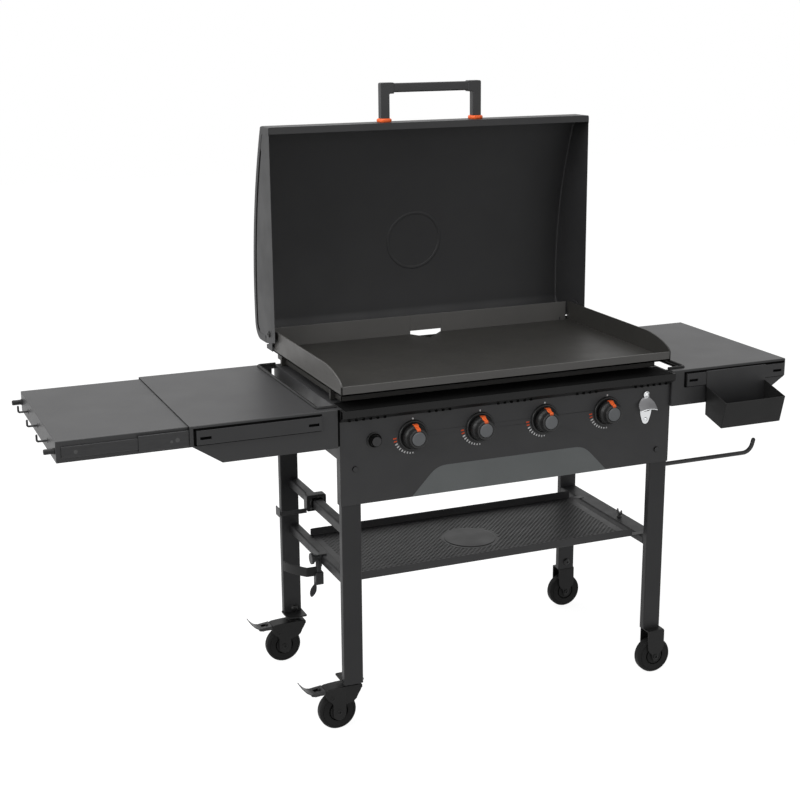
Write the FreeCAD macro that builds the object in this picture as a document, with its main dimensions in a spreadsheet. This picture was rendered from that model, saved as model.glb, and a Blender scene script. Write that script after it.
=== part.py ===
import FreeCAD, Part
import Sketcher
import math
import os
import re

# Outdoor gas griddle station: a four-burner flat-top on a wheeled stand, with a hinged
# hood standing open, a left shelf whose extension is drawn out, and a right shelf.
# Working axes: +X to the right of someone facing the knobs, +Y away from them, +Z up.
# Working X is 0 midway between the legs, Y is 0 at the front legs' front face, Z is 0 on the floor.

# A text value is a formula: that size follows another one at a fixed distance.
SIZES = (
    # stand
    ("leg_half", 459.7), ("leg_wide", 50.7), ("leg_deep", 20.8), ("tube_wall", 1.5),
    ("leg_foot", 125), ("rear_leg", 478.7), ("frame_top", 842), ("sheet", 1.5),
    ("bar_high", 22), ("bar_slim", 22), ("low_bar", 364.5), ("high_bar", 500.5),
    ("panel_skin", 2.3), ("body_half", "=leg_half + panel_skin"),
    ("body_back", 501), ("side_low", 715), ("panel_low", 600), ("panel_high", 812),
    ("flange_deep", 24), ("ring_inset", 62), ("ring_front", 92), ("ring_back", 470), ("ring_thick", 2),
    # vent rail above the panel
    ("rail_reach", 24), ("rail_low", 826), ("vent_radius", 3), ("vent_pitch", 18.3),
    # tray
    ("tray_left", "=leg_half - 28.7"), ("tray_right", "=leg_half - 74.7"),
    ("tray_front", 36), ("tray_deep", 349), ("tray_lip", 21),
    ("tab_wide", 38), ("tab_deep", 20), ("tray_inset", 11),
    # firebox and gas train
    ("box_half", "=leg_half - leg_wide - 5"),
    ("box_front", 84), ("box_back", 476), ("box_low", 735), ("box_wall", 1.2),
    ("knob_pitch", 181.3), ("knob_high", 758.5), ("knob_face", 41), ("knob_radius", 31),
    ("knob_ring", 24), ("knob_cap", 17), ("bezel_radius", 39), ("bezel_thick", 6), ("bezel_bore", 14),
    ("push_travel", 3), ("stem_radius", 4), ("stem_end", 36), ("plug_radius", 8), ("run_gap", 0.05),
    ("valve_front", 24), ("valve_deep", 28), ("valve_half", 12.5), ("plug_front", 27), ("plug_back", 45),
    ("pipe_radius", 10), ("pipe_half", 370), ("inlet_drop", 62), ("inlet_radius", 8),
    ("burner_radius", 16), ("burner_start", 104), ("burner_high", 775), ("throat_radius", 11),
    ("button_inset", 35), ("button_radius", 17), ("button_face", 25), ("button_travel", 5),
    ("collar_thick", 4), ("shank_radius", 7),
    ("button_bore", 12), ("igniter_half", 22), ("igniter_deep", 44),
    # griddle plate
    ("plate_half", "=leg_half - 2.7"), ("plate_front", -3), ("plate_back", 545), ("plate_under", 875),
    ("plate_floor", 5), ("plate_wall", 4), ("lip_top", 898.4), ("wall_top", 933), ("curve_start", 121),
    ("slot_half", 47), ("slot_high", 9), ("notch_deep", 62), ("corner_gap", 7), ("notch_shift", 12),
    ("skirt_out", "=plate_half - 17"),
    ("skirt_front", 8), ("skirt_back", 534), ("skirt_drop", 17), ("skirt_thick", 3),
    ("foot_out", "=plate_half - 8"), ("foot_front", 90), ("foot_back", 470), ("foot_radius", 7.5),
    # hood, drawn shut about its hinge and then swung open
    ("hinge_back", 518), ("hinge_high", 923), ("open_angle", 90.6), ("hood_half", "=body_half + 5.5"),
    ("hood_sheet", 1.2), ("hood_front", 548), ("hood_rim", 50), ("hood_brow", 22), ("hood_crown", 124),
    ("hood_back", 31), ("corner_low", 77), ("back_low", 30), ("tail_back", 15.5),
    ("arch_rise", 33), ("side_lip", 18), ("hinge_radius", 5),
    ("grip_half", 134), ("grip_out", 91), ("grip_drop", 15), ("grip_wide", 24), ("post_wide", 28),
    ("bezel_wide", 38), ("bezel_high", 10), ("bracket_thick", 3), ("bracket_low", 800),
    # shelves
    ("shelf_top", 846.9), ("shelf_front", -10), ("shelf_back", 499),
    ("left_reach", "=body_half + 367.5"), ("right_reach", "=body_half + 355.5"),
    ("apron_drop", 95), ("apron_end", 46), ("apron_knee", 75.5),
    ("slot_out", "=body_half + 48"), ("slot_front", 14), ("slot_back", 485), ("slot_rim", 15),
    ("ext_reach", "=left_reach + 302"), ("ext_long", 316), ("ext_sink", 2.9), ("ext_front", 2.3), ("ext_back", 487),
    ("ext_drop", 50),
    ("slide_thick", 3), ("slide_gap", 0.4), ("slide_drop", 28.9), ("inner_high", 27), ("middle_high", 38),
    ("outer_high", 42), ("middle_reach", "=left_reach + 117.5"), ("middle_long", 297),
    ("outer_start", "=left_reach - 14.5"), ("outer_end", "=slot_out + 10"),
    ("hook_out", 24), ("hook_up", 17), ("hook_radius", 2.5), ("hook_drop", 24.5), ("hook_mid", 241),
    ("hook_pitch", 135), ("bump_long", 25), ("bump_radius", 6.5), ("bump_front", 16), ("bump_back", 472),
    ("bar_start", "=body_half + 49"), ("bar_stop", "=left_reach - 15"),
    ("bar_low", 802), ("bar_top", 836), ("bar_thick", 2.5),
    ("bar_gap", 4), ("bar_slot", 27), ("bar_slot_high", 7), ("right_bar_stop", "=right_reach - 8.5"),
    # fittings
    ("bin_left", "=bar_start + 46"), ("bin_wide", 184), ("bin_front", 120), ("bin_foot", 98), ("bin_low", 712),
    ("bin_front_top", 769), ("bin_side_top", 797), ("hang_gap", 0.3), ("hang_drop", 9),
    ("towel_radius", 5.75), ("towel_high", 588), ("towel_reach", "=leg_half + 252.3"), ("towel_rise", 34),
    ("opener_out", "=leg_half - 72.7"), ("opener_high", 751),
    ("opener_half", 26), ("opener_thick", 4), ("lip_reach", 24),
    ("boss_high", 791), ("boss_radius", 9), ("opener_foot", 713),
    ("hanger_back", 306), ("hanger_wide", 54), ("hanger_high", 43.5), ("hanger_deep", 24),
    ("arm_reach", "=leg_half + 62.3"), ("arm_high", 11), ("arm_thick", 6), ("tip_high", 24), ("tip_thick", 2.5),
    ("tip_front", 9), ("tip_back", 26), ("clamp_back", 232), ("clamp_wide", 20), ("clamp_out", 10.5),
    ("post_radius", 7.5), ("post_top", 378), ("block_low", 311), ("block_high", 33), ("block_half", 11),
    ("strap_low", 335), ("strap_high", 25), ("strap_thick", 4), ("strap_bend", "=leg_half + 16.3"),
    ("strap_mid", "=leg_half + 39.3"), ("strap_far", "=leg_half + 52.3"), ("screw_radius", 4), ("screw_high", 383),
    ("screw_out_end", 32), ("wheel_out", 27), ("wheel_half", 15), ("paddle_thick", 5),
    # bolts and screws
    ("screw_out", "=leg_half - 35.7"), ("left_screw", 690), ("right_screw", 637.5), ("bolt_back", 17),
    ("bolt_high", 741), ("pad_bolt_in", 4.35), ("left_pad_bolt", 18), ("right_pad_bolt", 22),
    ("nut_back", 185), ("nut_half", 13),
    # grease cup
    ("cup_half", 55), ("cup_front", 549), ("cup_deep", 70), ("cup_low", 778), ("cup_top", 842),
    ("runner_thick", 2),
    # casters
    ("wheel_radius", 49), ("wheel_thick", 26), ("wheel_tread", 6), ("hub_radius", 24), ("groove_deep", 3),
    ("axle_radius", 5), ("swivel_inset", 22), ("fixed_outset", 12), ("trail", 36), ("pad_half", 29),
    ("pad_thick", 3), ("neck_radius", 12), ("neck_high", 5), ("fork_gap", 7.7), ("fork_thick", 2.5),
    ("cheek_half", 25), ("cheek_foot", 13), ("lever_reach", 136), ("lever_half", 12), ("pivot_radius", 3),
    ("fixed_shift", 3), ("pad_gap", 0.3), ("spigot_radius", 6),
    ("origin_x", 0), ("origin_y", 0),
)

doc = FreeCAD.newDocument("GriddleStation")
sheet = doc.addObject("Spreadsheet::Sheet", "Sizes")
for row, (alias, value) in enumerate(SIZES, start=1):
    sheet.set("A%d" % row, alias)
    sheet.setAlias("B%d" % row, alias)
for row, (alias, value) in enumerate(SIZES, start=1):
    sheet.set("B%d" % row, str(value))
doc.recompute()

ALIASES = {alias for alias, value in SIZES}
WORD = re.compile(r"[a-z][a-z_0-9]*")
NODES = []


def bound(text):
    """Point every size named in an expression at its cell in the sheet."""
    return WORD.sub(lambda m: "Sizes." + m.group(0) if m.group(0) in ALIASES else m.group(0), str(text))


def size(alias):
    return float(sheet.get(alias))


def place(piece, where):
    for axis, text in zip("xyz", where):
        piece.setExpression("Placement.Base." + axis, bound(text))


def box(name, low, high):
    """A block between two corners, each given as three expressions."""
    piece = doc.addObject("Part::Box", name)
    for side, start, end in zip(("Length", "Width", "Height"), low, high):
        piece.setExpression(side, bound("(%s) - (%s)" % (end, start)))
    place(piece, low)
    return piece


TURN = {
    "+X": (FreeCAD.Vector(0, 1, 0), 90), "-X": (FreeCAD.Vector(0, 1, 0), -90),
    "+Y": (FreeCAD.Vector(1, 0, 0), -90), "-Y": (FreeCAD.Vector(1, 0, 0), 90),
    "+Z": (FreeCAD.Vector(0, 0, 1), 0), "-Z": (FreeCAD.Vector(1, 0, 0), 180),
}


def rod(name, start, way, radius, length):
    """A cylinder from a point along a signed axis."""
    piece = doc.addObject("Part::Cylinder", name)
    piece.setExpression("Radius", bound(radius))
    piece.setExpression("Height", bound(length))
    piece.Placement = FreeCAD.Placement(FreeCAD.Vector(), FreeCAD.Rotation(*TURN[way]))
    place(piece, start)
    return piece


def join(name, pieces):
    piece = doc.addObject("Part::MultiFuse", name)
    piece.Shapes = pieces
    return piece


def group(name, pieces):
    """Separate solids that share one file."""
    piece = doc.addObject("Part::Compound", name)
    piece.Links = pieces
    return piece


def cut(name, base, tools):
    piece = doc.addObject("Part::Cut", name)
    piece.Base = base
    piece.Tool = tools[0] if len(tools) == 1 else join(name + "_tools", tools)
    return piece


def sketch_on(body, role, offset):
    plane = [item for item in body.Origin.OriginFeatures if item.Role == role][0]
    sketch = body.newObject("Sketcher::SketchObject", body.Name + "_sketch")
    sketch.AttachmentSupport = [(plane, "")]
    sketch.MapMode = "FlatFace"
    sketch.setExpression("AttachmentOffset.Base.z", bound(offset))
    return sketch


def pin_point(sketch, edge, end, across, up):
    """Tie one point of a sketch to expressions for its two coordinates."""
    for kind, text in (("DistanceX", across), ("DistanceY", up)):
        index = sketch.addConstraint(Sketcher.Constraint(kind, -1, 1, edge, end, 1.0))
        sketch.setExpression("Constraints[%d]" % index, bound(text))


def outline(sketch, points):
    """A closed run of straight edges through points given as expressions."""
    first = sketch.GeometryCount
    count = len(points)
    ring = [FreeCAD.Vector(9 * math.cos(i * math.tau / count), 9 * math.sin(i * math.tau / count), 0)
            for i in range(count)]
    for i in range(count):
        sketch.addGeometry(Part.LineSegment(ring[i], ring[(i + 1) % count]), False)
    for i in range(count):
        following = first + (i + 1) % count
        sketch.addConstraint(Sketcher.Constraint("Coincident", first + i, 2, following, 1))
    for i, (across, up) in enumerate(points):
        pin_point(sketch, first + i, 1, across, up)


def hole(sketch, across, up, radius):
    edge = sketch.addGeometry(Part.Circle(FreeCAD.Vector(), FreeCAD.Vector(0, 0, 1), 1.0), False)
    pin_point(sketch, edge, 3, across, up)
    index = sketch.addConstraint(Sketcher.Constraint("Radius", edge, 1.0))
    sketch.setExpression("Constraints[%d]" % index, bound(radius))


# Each plane's name, with the sign that turns an offset along the axis into the sketch's own.
PLANES = {"X": ("YZ_Plane", 1), "Y": ("XZ_Plane", -1), "Z": ("XY_Plane", 1)}


def slab(name, axis, start, end, points, holes=(), windows=()):
    """A flat piece: an outline across one axis, padded from start to end along it."""
    body = doc.addObject("PartDesign::Body", name)
    role, sign = PLANES[axis]
    sketch = sketch_on(body, role, start if sign > 0 else "-(%s)" % end)
    outline(sketch, points)
    for across, up, radius in holes:
        hole(sketch, across, up, radius)
    for window in windows:
        outline(sketch, window)
    pad = body.newObject("PartDesign::Pad", name + "_pad")
    pad.Profile = sketch
    pad.setExpression("Length", bound("(%s) - (%s)" % (end, start)))
    return body


def turned(name, points, where):
    """A round piece about an axis along Y: points are radius and depth."""
    body = doc.addObject("PartDesign::Body", name)
    sketch = sketch_on(body, "XY_Plane", "0")
    outline(sketch, points)
    spin = body.newObject("PartDesign::Revolution", name + "_spin")
    spin.Profile = sketch
    spin.ReferenceAxis = (sketch, ["V_Axis"])
    spin.Angle = 360
    place(body, where)
    return body


def node(piece, where=("0", "0", "0")):
    """Set a finished sub-part into the shared frame and list it for writing."""
    place(piece, ("(%s) - origin_x" % where[0], "(%s) - origin_y" % where[1], where[2]))
    NODES.append(piece)
    return piece


def span(name, sign, axis_out, axis_in, low, high):
    """A block whose X runs between two distances on one side of the middle."""
    ends = (axis_in, axis_out) if sign > 0 else ("-(%s)" % axis_out, "-(%s)" % axis_in)
    return box(name, (ends[0], low[0], low[1]), (ends[1], high[0], high[1]))


SIDES = (("left", -1), ("right", 1))

# Legs: rectangular tube, closed at the top by the frame and at the bottom by the caster pads.


def leg(name, sign, front):
    outer = span(name + "_outer", sign, "leg_half", "leg_half - leg_wide",
                 (front, "leg_foot"), (front + " + leg_deep", "frame_top"))
    inner = span(name + "_inner", sign, "leg_half - tube_wall", "leg_half - leg_wide + tube_wall",
                 (front + " + tube_wall", "leg_foot - 1"), (front + " + leg_deep - tube_wall", "frame_top + 1"))
    return cut(name, outer, [inner])


for end, front in (("front", "0"), ("rear", "rear_leg")):
    node(group(end + "_legs", [leg("%s_%s_leg" % (end, side), sign, front) for side, sign in SIDES]))


def crossbar(name, low, inner, outer):
    """A tube between the front and rear legs, with X from inner to outer."""
    skin = box(name + "_outer", (inner, "leg_deep", low), (outer, "rear_leg", low + " + bar_high"))
    core = box(name + "_inner", (inner + " + tube_wall", "leg_deep - 1", low + " + tube_wall"),
               (outer + " - tube_wall", "rear_leg + 1", low + " + bar_high - tube_wall"))
    return cut(name, skin, [core])


node(group("crossbars", [
    crossbar("left_low_bar", "low_bar", "-(leg_half - leg_wide + bar_slim)", "-(leg_half - leg_wide)"),
    crossbar("left_high_bar", "high_bar", "-(leg_half - leg_wide + bar_slim)", "-(leg_half - leg_wide)"),
    crossbar("right_low_bar", "low_bar", "leg_half - leg_wide", "leg_half"),
]))

# Bottom tray: a floor resting on the bars, lips at the front and back, tabs over the right bar.
TRAY_FLOOR = "low_bar + bar_high"
TRAY_LIP_LEFT = "-(tray_left - tray_inset)"
TRAY_REAR = "tray_front + tray_deep"
tray_parts = [box("tray_floor", ("-tray_left", "tray_front", TRAY_FLOOR),
                  ("tray_right", TRAY_REAR, TRAY_FLOOR + " + sheet"))]
for label, start, stop, tab, tab_stop in (
        ("front", "tray_front", "tray_front + sheet", "tray_front", "tray_front + tab_deep"),
        ("rear", TRAY_REAR + " - sheet", TRAY_REAR, TRAY_REAR + " - tab_deep", TRAY_REAR)):
    tray_parts.append(box("tray_lip_" + label, (TRAY_LIP_LEFT, start, TRAY_FLOOR),
                          ("tray_right", stop, TRAY_FLOOR + " + tray_lip")))
    tray_parts.append(box("tray_tab_" + label, ("tray_right - 1", tab, TRAY_FLOOR),
                          ("tray_right + tab_wide", tab_stop, TRAY_FLOOR + " + sheet")))
node(join("bottom_tray", tray_parts))

# Body: a ring of sheet under the griddle, side and rear panels, and the control panel.
node(slab("top_frame", "Z", "frame_top", "frame_top + ring_thick",
          [("-body_half", "0"), ("body_half", "0"), ("body_half", "body_back"), ("-body_half", "body_back")],
          windows=[[("-(body_half - ring_inset)", "ring_front"), ("body_half - ring_inset", "ring_front"),
                    ("body_half - ring_inset", "ring_back"), ("-(body_half - ring_inset)", "ring_back")]]))


def side_panel(name, start, end):
    return slab(name, "X", start, end,
                [("0", "panel_low"), ("flange_deep", "panel_low"), ("flange_deep", "side_low"),
                 ("body_back", "side_low"), ("body_back", "frame_top"), ("0", "frame_top")])


node(group("body_panels", [
    side_panel("left_panel", "-body_half", "-leg_half"),
    side_panel("right_panel", "leg_half", "body_half"),
    box("rear_panel", ("-leg_half", "body_back - sheet", "side_low"), ("leg_half", "body_back", "frame_top")),
]))

BUTTON_OUT = "(leg_half - leg_wide - button_inset)"
KNOBS = ("-1.5 * knob_pitch", "-0.5 * knob_pitch", "0.5 * knob_pitch", "1.5 * knob_pitch")
node(slab("control_panel", "Y", "-sheet", "0",
          [("-body_half", "panel_low"), ("body_half", "panel_low"),
           ("body_half", "panel_high"), ("-body_half", "panel_high")],
          holes=[(x, "knob_high", "stem_radius + 2") for x in KNOBS]
          + [("-" + BUTTON_OUT, "knob_high", "button_bore + run_gap")]))

rail = slab("rail_profile", "X", "-body_half", "body_half",
            [("0", "frame_top + ring_thick"), ("-rail_reach", "frame_top + ring_thick"),
             ("-rail_reach", "rail_low"), ("-sheet", "panel_high"), ("0", "panel_high"),
             ("0", "panel_high + sheet"), ("sheet - rail_reach", "rail_low + sheet"),
             ("sheet - rail_reach", "frame_top + ring_thick - sheet"), ("0", "frame_top + ring_thick - sheet")])
vents = []
for block, (middle, count) in enumerate((("-395", 6), ("-205", 4), ("0", 6), ("205", 4), ("395", 6))):
    for i in range(count):
        offset = i - (count - 1) / 2
        vents.append(rod("vent_%d_%d" % (block, i), ("%s + %s * vent_pitch" % (middle, offset),
                         "-rail_reach / 2", "rail_low - 14"), "+Z", "vent_radius", "15"))
node(cut("front_rail", rail, vents))

# Firebox with its burners, the gas pipe and the valves.
firebox = cut("firebox_shell", box("firebox_outer", ("-box_half", "box_front", "box_low"),
                                   ("box_half", "box_back", "frame_top")),
              [box("firebox_inner", ("box_wall - box_half", "box_front + box_wall", "box_low + box_wall"),
                   ("box_half - box_wall", "box_back - box_wall", "frame_top + 1"))]
              + [rod("firebox_port_%d" % i, (x, "box_front - 1", "burner_high"), "+Y",
                     "throat_radius + 1", "box_wall + 2") for i, x in enumerate(KNOBS)])
node(firebox)
firebox.Label = "firebox"
PIPE_BACK = "valve_front + valve_deep + pipe_radius"
node(group("burners", [join("burner_%d" % i, [
    rod("throat_%d" % i, (x, PIPE_BACK + " + pipe_radius", "burner_high"), "+Y",
        "throat_radius", "burner_start - (%s + pipe_radius)" % PIPE_BACK),
    rod("flame_tube_%d" % i, (x, "burner_start", "burner_high"), "+Y",
        "burner_radius", "box_back - box_wall - burner_start")]) for i, x in enumerate(KNOBS, start=1)]))
manifold_pipe = rod("manifold_pipe", ("-pipe_half", PIPE_BACK, "knob_high"), "+X", "pipe_radius",
                    "pipe_half + 1.5 * knob_pitch + 25")
manifold_elbow = box("manifold_elbow", ("-pipe_half - pipe_radius", PIPE_BACK + " - pipe_radius - 1",
                     "knob_high - pipe_radius - 3"), ("-pipe_half + pipe_radius + 4",
                     PIPE_BACK + " + pipe_radius + 1", "knob_high + pipe_radius + 1"))
manifold_inlet = rod("manifold_inlet", ("-pipe_half", PIPE_BACK, "knob_high - pipe_radius - inlet_drop"),
                     "+Z", "inlet_radius", "inlet_drop + 2")
manifold_stays = [box("manifold_stay_" + end, (x + " - 3", "0", "knob_high - pipe_radius / 2"),
                      (x + " + 3", PIPE_BACK, "knob_high + pipe_radius / 2"))
                  for end, x in (("left", "-(1.5 * knob_pitch + 30)"), ("right", "1.5 * knob_pitch + 20"))]
node(join("manifold", [manifold_pipe, manifold_elbow, manifold_inlet] + manifold_stays))
node(group("valve_bodies", [cut("valve_body_%d" % i, box("valve_block_%d" % i,
     (x + " - valve_half", "valve_front", "knob_high - valve_half"),
     (x + " + valve_half", "valve_front + valve_deep", "knob_high + valve_half")),
     [rod("valve_bore_%d" % i, (x, "valve_front - 1", "knob_high"), "+Y", "plug_radius + run_gap",
          "plug_back + run_gap - valve_front + 1")]) for i, x in enumerate(KNOBS, start=1)]))

# Each valve stem turns in its body, and a knob slides on the stem's front end.
BEZEL_FACE = "-(sheet + bezel_thick)"
for i, x in enumerate(KNOBS, start=1):
    stem = join("valve_stem_%d" % i, [
        rod("stem_plug_%d" % i, (x, "plug_front", "knob_high"), "+Y", "plug_radius", "plug_back - plug_front"),
        rod("stem_rod_%d" % i, (x, "-stem_end", "knob_high"), "+Y", "stem_radius", "stem_end + plug_front")])
    node(stem)
    knob = turned("knob_%d" % i, [
        ("stem_radius + run_gap", "-(sheet + bezel_thick + push_travel + 0.5)"),
        ("knob_radius", "-(sheet + bezel_thick + push_travel + 0.5)"),
        ("knob_radius", "-(knob_face - 21)"), ("knob_ring + 2", "-(knob_face - 14)"),
        ("knob_ring", "-(knob_face - 4)"), ("knob_ring - 2", "-(knob_face - 2)"),
        ("knob_cap + 1", "-(knob_face - 2)"), ("knob_cap", "-knob_face"), ("0", "-knob_face"),
        ("0", "-(stem_end + push_travel + run_gap)"),
        ("stem_radius + run_gap", "-(stem_end + push_travel + run_gap)")], (x, "0", "knob_high"))
    node(knob, (x, "0", "knob_high"))
node(group("knob_bezels", [turned("bezel_%d" % i, [
    ("bezel_bore", "-sheet"), ("bezel_radius", "-sheet"), ("bezel_radius", "-(sheet + 2)"),
    ("bezel_radius - 5", BEZEL_FACE), ("bezel_bore", BEZEL_FACE)], (x, "0", "knob_high"))
    for i, x in enumerate(KNOBS, start=1)]))

# Igniter: a collar and module behind the panel, and the button that is pressed.
module = cut("igniter_shell", join("igniter_solid", [
    rod("igniter_collar", ("-" + BUTTON_OUT, "-(sheet + collar_thick)", "knob_high"), "+Y",
        "button_radius + 2", "collar_thick"),
    rod("igniter_barrel", ("-" + BUTTON_OUT, "-sheet", "knob_high"), "+Y", "button_bore", "sheet + 1"),
    box("igniter_case", ("-%s - igniter_half" % BUTTON_OUT, "0", "knob_high - igniter_half"),
        ("-%s + igniter_half" % BUTTON_OUT, "igniter_deep", "knob_high + igniter_half"))]),
    [rod("igniter_bore", ("-" + BUTTON_OUT, "-(sheet + collar_thick + 1)", "knob_high"), "+Y",
         "shank_radius + run_gap", "igniter_deep - 10")])
module.Label = "igniter_module"
node(module)
node(join("igniter_button", [
    rod("button_cap", ("-" + BUTTON_OUT, "-(sheet + button_face)", "knob_high"), "+Y", "button_radius",
        "button_face - collar_thick - button_travel - hang_gap"),
    rod("button_shank", ("-" + BUTTON_OUT, "1 - (sheet + button_face)", "knob_high"), "+Y", "shank_radius",
        "button_face + 10")]))


def feature(name, shape):
    piece = doc.addObject("Part::Feature", name)
    piece.Shape = shape
    return piece


def extruded(edges, start, length):
    """A solid from edges drawn across X, padded along +X from start."""
    face = Part.Face(Part.Wire(edges))
    solid = face.extrude(FreeCAD.Vector(length, 0, 0))
    solid.translate(FreeCAD.Vector(start, 0, 0))
    return solid


def side_point(back, high):
    return FreeCAD.Vector(0, back, high)


# Griddle plate: floor, walls whose fronts curve down to a low lip, and a grease slot at the rear.
wall_drop = size("wall_top") - size("lip_top")
wall_run = size("curve_start") - size("plate_front")
curve_radius = (wall_run ** 2 + wall_drop ** 2) / (2 * wall_drop)
half_sweep = math.asin(wall_run / curve_radius) / 2
curve_middle = side_point(size("curve_start") - curve_radius * math.sin(half_sweep),
                          size("wall_top") - curve_radius * (1 - math.cos(half_sweep)))
wall_points = [side_point(size(back), size(high)) for back, high in (
    ("plate_front", "lip_top"), ("plate_front", "plate_under"), ("plate_back", "plate_under"),
    ("plate_back", "wall_top"), ("curve_start", "wall_top"))]
wall_edges = [Part.LineSegment(a, b).toShape() for a, b in zip(wall_points, wall_points[1:])]
wall_edges.append(Part.Arc(wall_points[-1], curve_middle, wall_points[0]).toShape())
plate_parts = [feature("plate_wall_%s" % side, extruded(
    wall_edges, -size("plate_half") if sign < 0 else size("plate_half") - size("plate_wall"),
    size("plate_wall"))) for side, sign in SIDES]
plate_parts.append(box("plate_bed", ("-plate_half", "plate_front", "plate_under"),
                       ("plate_half", "plate_back", "plate_under + plate_floor")))
plate_parts.append(box("plate_lip", ("-plate_half", "plate_front", "plate_under"),
                       ("plate_half", "plate_front + plate_wall", "lip_top")))
plate_parts.append(box("plate_rear",
                       ("plate_wall + corner_gap - plate_half", "plate_back - plate_wall", "plate_under"),
                       ("plate_half - plate_wall - corner_gap", "plate_back", "wall_top")))
SKIRT = ("plate_under - skirt_drop", "plate_under + 1")
for label, low, high in (
        ("front", ("-skirt_out", "skirt_front"), ("skirt_out", "skirt_front + skirt_thick")),
        ("back", ("-skirt_out", "skirt_back - skirt_thick"), ("skirt_out", "skirt_back")),
        ("left", ("-skirt_out", "skirt_front"), ("skirt_thick - skirt_out", "skirt_back")),
        ("right", ("skirt_out - skirt_thick", "skirt_front"), ("skirt_out", "skirt_back"))):
    plate_parts.append(box("skirt_" + label, low + SKIRT[:1], high + SKIRT[1:]))
grease_slot = box("grease_slot", ("-slot_half", "plate_back - plate_wall - 1", "plate_under - 1"),
                  ("slot_half", "plate_back + 1", "plate_under + plate_floor + slot_high"))
grease_notch = slab("grease_notch", "Z", "plate_under - skirt_drop - 1", "plate_under + plate_floor + 1",
                    [("-slot_half", "plate_back + 1"), ("-notch_shift", "plate_back - notch_deep"),
                     ("slot_half", "plate_back + 1")])
notches = [box("weld_notch_%d" % i, ("%s - 6" % x, "skirt_front - 1", "plate_under - 5"),
               ("%s + 6" % x, "skirt_front + skirt_thick + 1", "plate_under - 1"))
           for i, x in enumerate(("-300", "-124", "50", "224"))]
node(cut("griddle_plate", join("plate_solid", plate_parts), [grease_slot, grease_notch] + notches))
node(group("griddle_feet", [rod("foot_%s_%s" % (end, side), ("%d * foot_out" % sign, back,
                                                             "frame_top + ring_thick"),
     "+Z", "foot_radius", "plate_under - frame_top - ring_thick")
     for side, sign in SIDES for end, back in (("front", "foot_front"), ("back", "foot_back"))]))

# Hood: drawn shut about its hinge, whose axis is the drawing's origin, and then swung open.
corner = size("hood_crown") - size("corner_low")
brow = side_point(-size("hood_front"), size("hood_brow"))
crown = side_point(size("hood_back") - corner, size("hood_crown"))
chord = crown - brow
arch = (brow + crown) * 0.5 + FreeCAD.Vector(0, -chord.z, chord.y).normalize() * size("arch_rise")
bend = side_point(crown.y + corner * math.sin(math.pi / 4), size("corner_low") + corner * math.cos(math.pi / 4))
heel = side_point(size("hood_back"), size("corner_low"))
tail = side_point(size("hood_back"), size("back_low"))
rim_front = side_point(-size("hood_front"), -size("hood_rim"))
rim_back = side_point(size("tail_back"), -size("hood_rim"))
lip_end = side_point(size("side_lip") - size("hood_front"), -size("hood_rim"))
roof = [Part.LineSegment(rim_front, brow).toShape(), Part.Arc(brow, arch, crown).toShape(),
        Part.Arc(crown, bend, heel).toShape(), Part.LineSegment(heel, tail).toShape()]
side_edges = roof + [Part.LineSegment(tail, rim_back).toShape(), Part.LineSegment(rim_back, rim_front).toShape()]


def swing(piece):
    """Hang a hood piece on the hinge at its open angle."""
    node(piece, ("0", "hinge_back", "hinge_high"))
    piece.setExpression("Placement.Rotation.Axis.x", "1")
    piece.setExpression("Placement.Rotation.Axis.y", "0")
    piece.setExpression("Placement.Rotation.Axis.z", "0")
    piece.setExpression("Placement.Rotation.Angle", bound("-open_angle"))
    return piece


def hood_strip(edges):
    """Sheet that follows an open run of edges, laid towards the inside of the hood."""
    return Part.Wire(edges).makeOffset2D(size("hood_sheet"), join=2, fill=True, openResult=True)


inner_half = size("hood_half") - size("hood_sheet")
strip = hood_strip([Part.LineSegment(lip_end, rim_front).toShape()] + roof)
shell = strip.extrude(FreeCAD.Vector(2 * inner_half, 0, 0))
shell.translate(FreeCAD.Vector(-inner_half, 0, 0))
swing(feature("hood_shell", Part.makeCompound([shell])))
pin_hole = Part.makeCylinder(size("hinge_radius") + size("run_gap"), 2 * size("hood_half") + 2,
                             FreeCAD.Vector(-size("hood_half") - 1, 0, 0), FreeCAD.Vector(1, 0, 0))
ends = [extruded(side_edges, start, size("hood_sheet")).cut(pin_hole) for start in (-size("hood_half"), inner_half)]
swing(feature("hood_ends", Part.makeCompound(ends)))

# Hood handle: two posts through bezels and a bar between them.
GRIP_HIGH = "-grip_drop"
GRIP_BACK = "-(hood_front + grip_out + grip_wide / 2)"
posts = [box("grip_post_%s" % side,
             ("%d * grip_half - post_wide / 2" % sign, GRIP_BACK, GRIP_HIGH + " - grip_wide / 2"),
             ("%d * grip_half + post_wide / 2" % sign, "-hood_front", GRIP_HIGH + " + grip_wide / 2"))
         for side, sign in SIDES]
grip = rod("grip_bar", ("-grip_half", "-(hood_front + grip_out)", GRIP_HIGH), "+X",
           "grip_wide / 2 - 1", "2 * grip_half")
swing(join("hood_handle", posts + [grip]))
bezels = []
for side, sign in SIDES:
    plate = box("grip_bezel_plate_%s" % side, ("%d * grip_half - bezel_wide / 2" % sign,
                                               "-(hood_front + bezel_high)",
                GRIP_HIGH + " - bezel_wide / 2"), ("%d * grip_half + bezel_wide / 2" % sign, "-hood_front",
                GRIP_HIGH + " + bezel_wide / 2"))
    gap = box("grip_bezel_gap_%s" % side, ("%d * grip_half - post_wide / 2" % sign,
                                           "-(hood_front + bezel_high + 1)",
              GRIP_HIGH + " - grip_wide / 2"), ("%d * grip_half + post_wide / 2" % sign, "1 - hood_front",
              GRIP_HIGH + " + grip_wide / 2"))
    bezels.append(cut("grip_bezel_%s" % side, plate, [gap]))
swing(group("handle_bezels", bezels))

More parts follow.
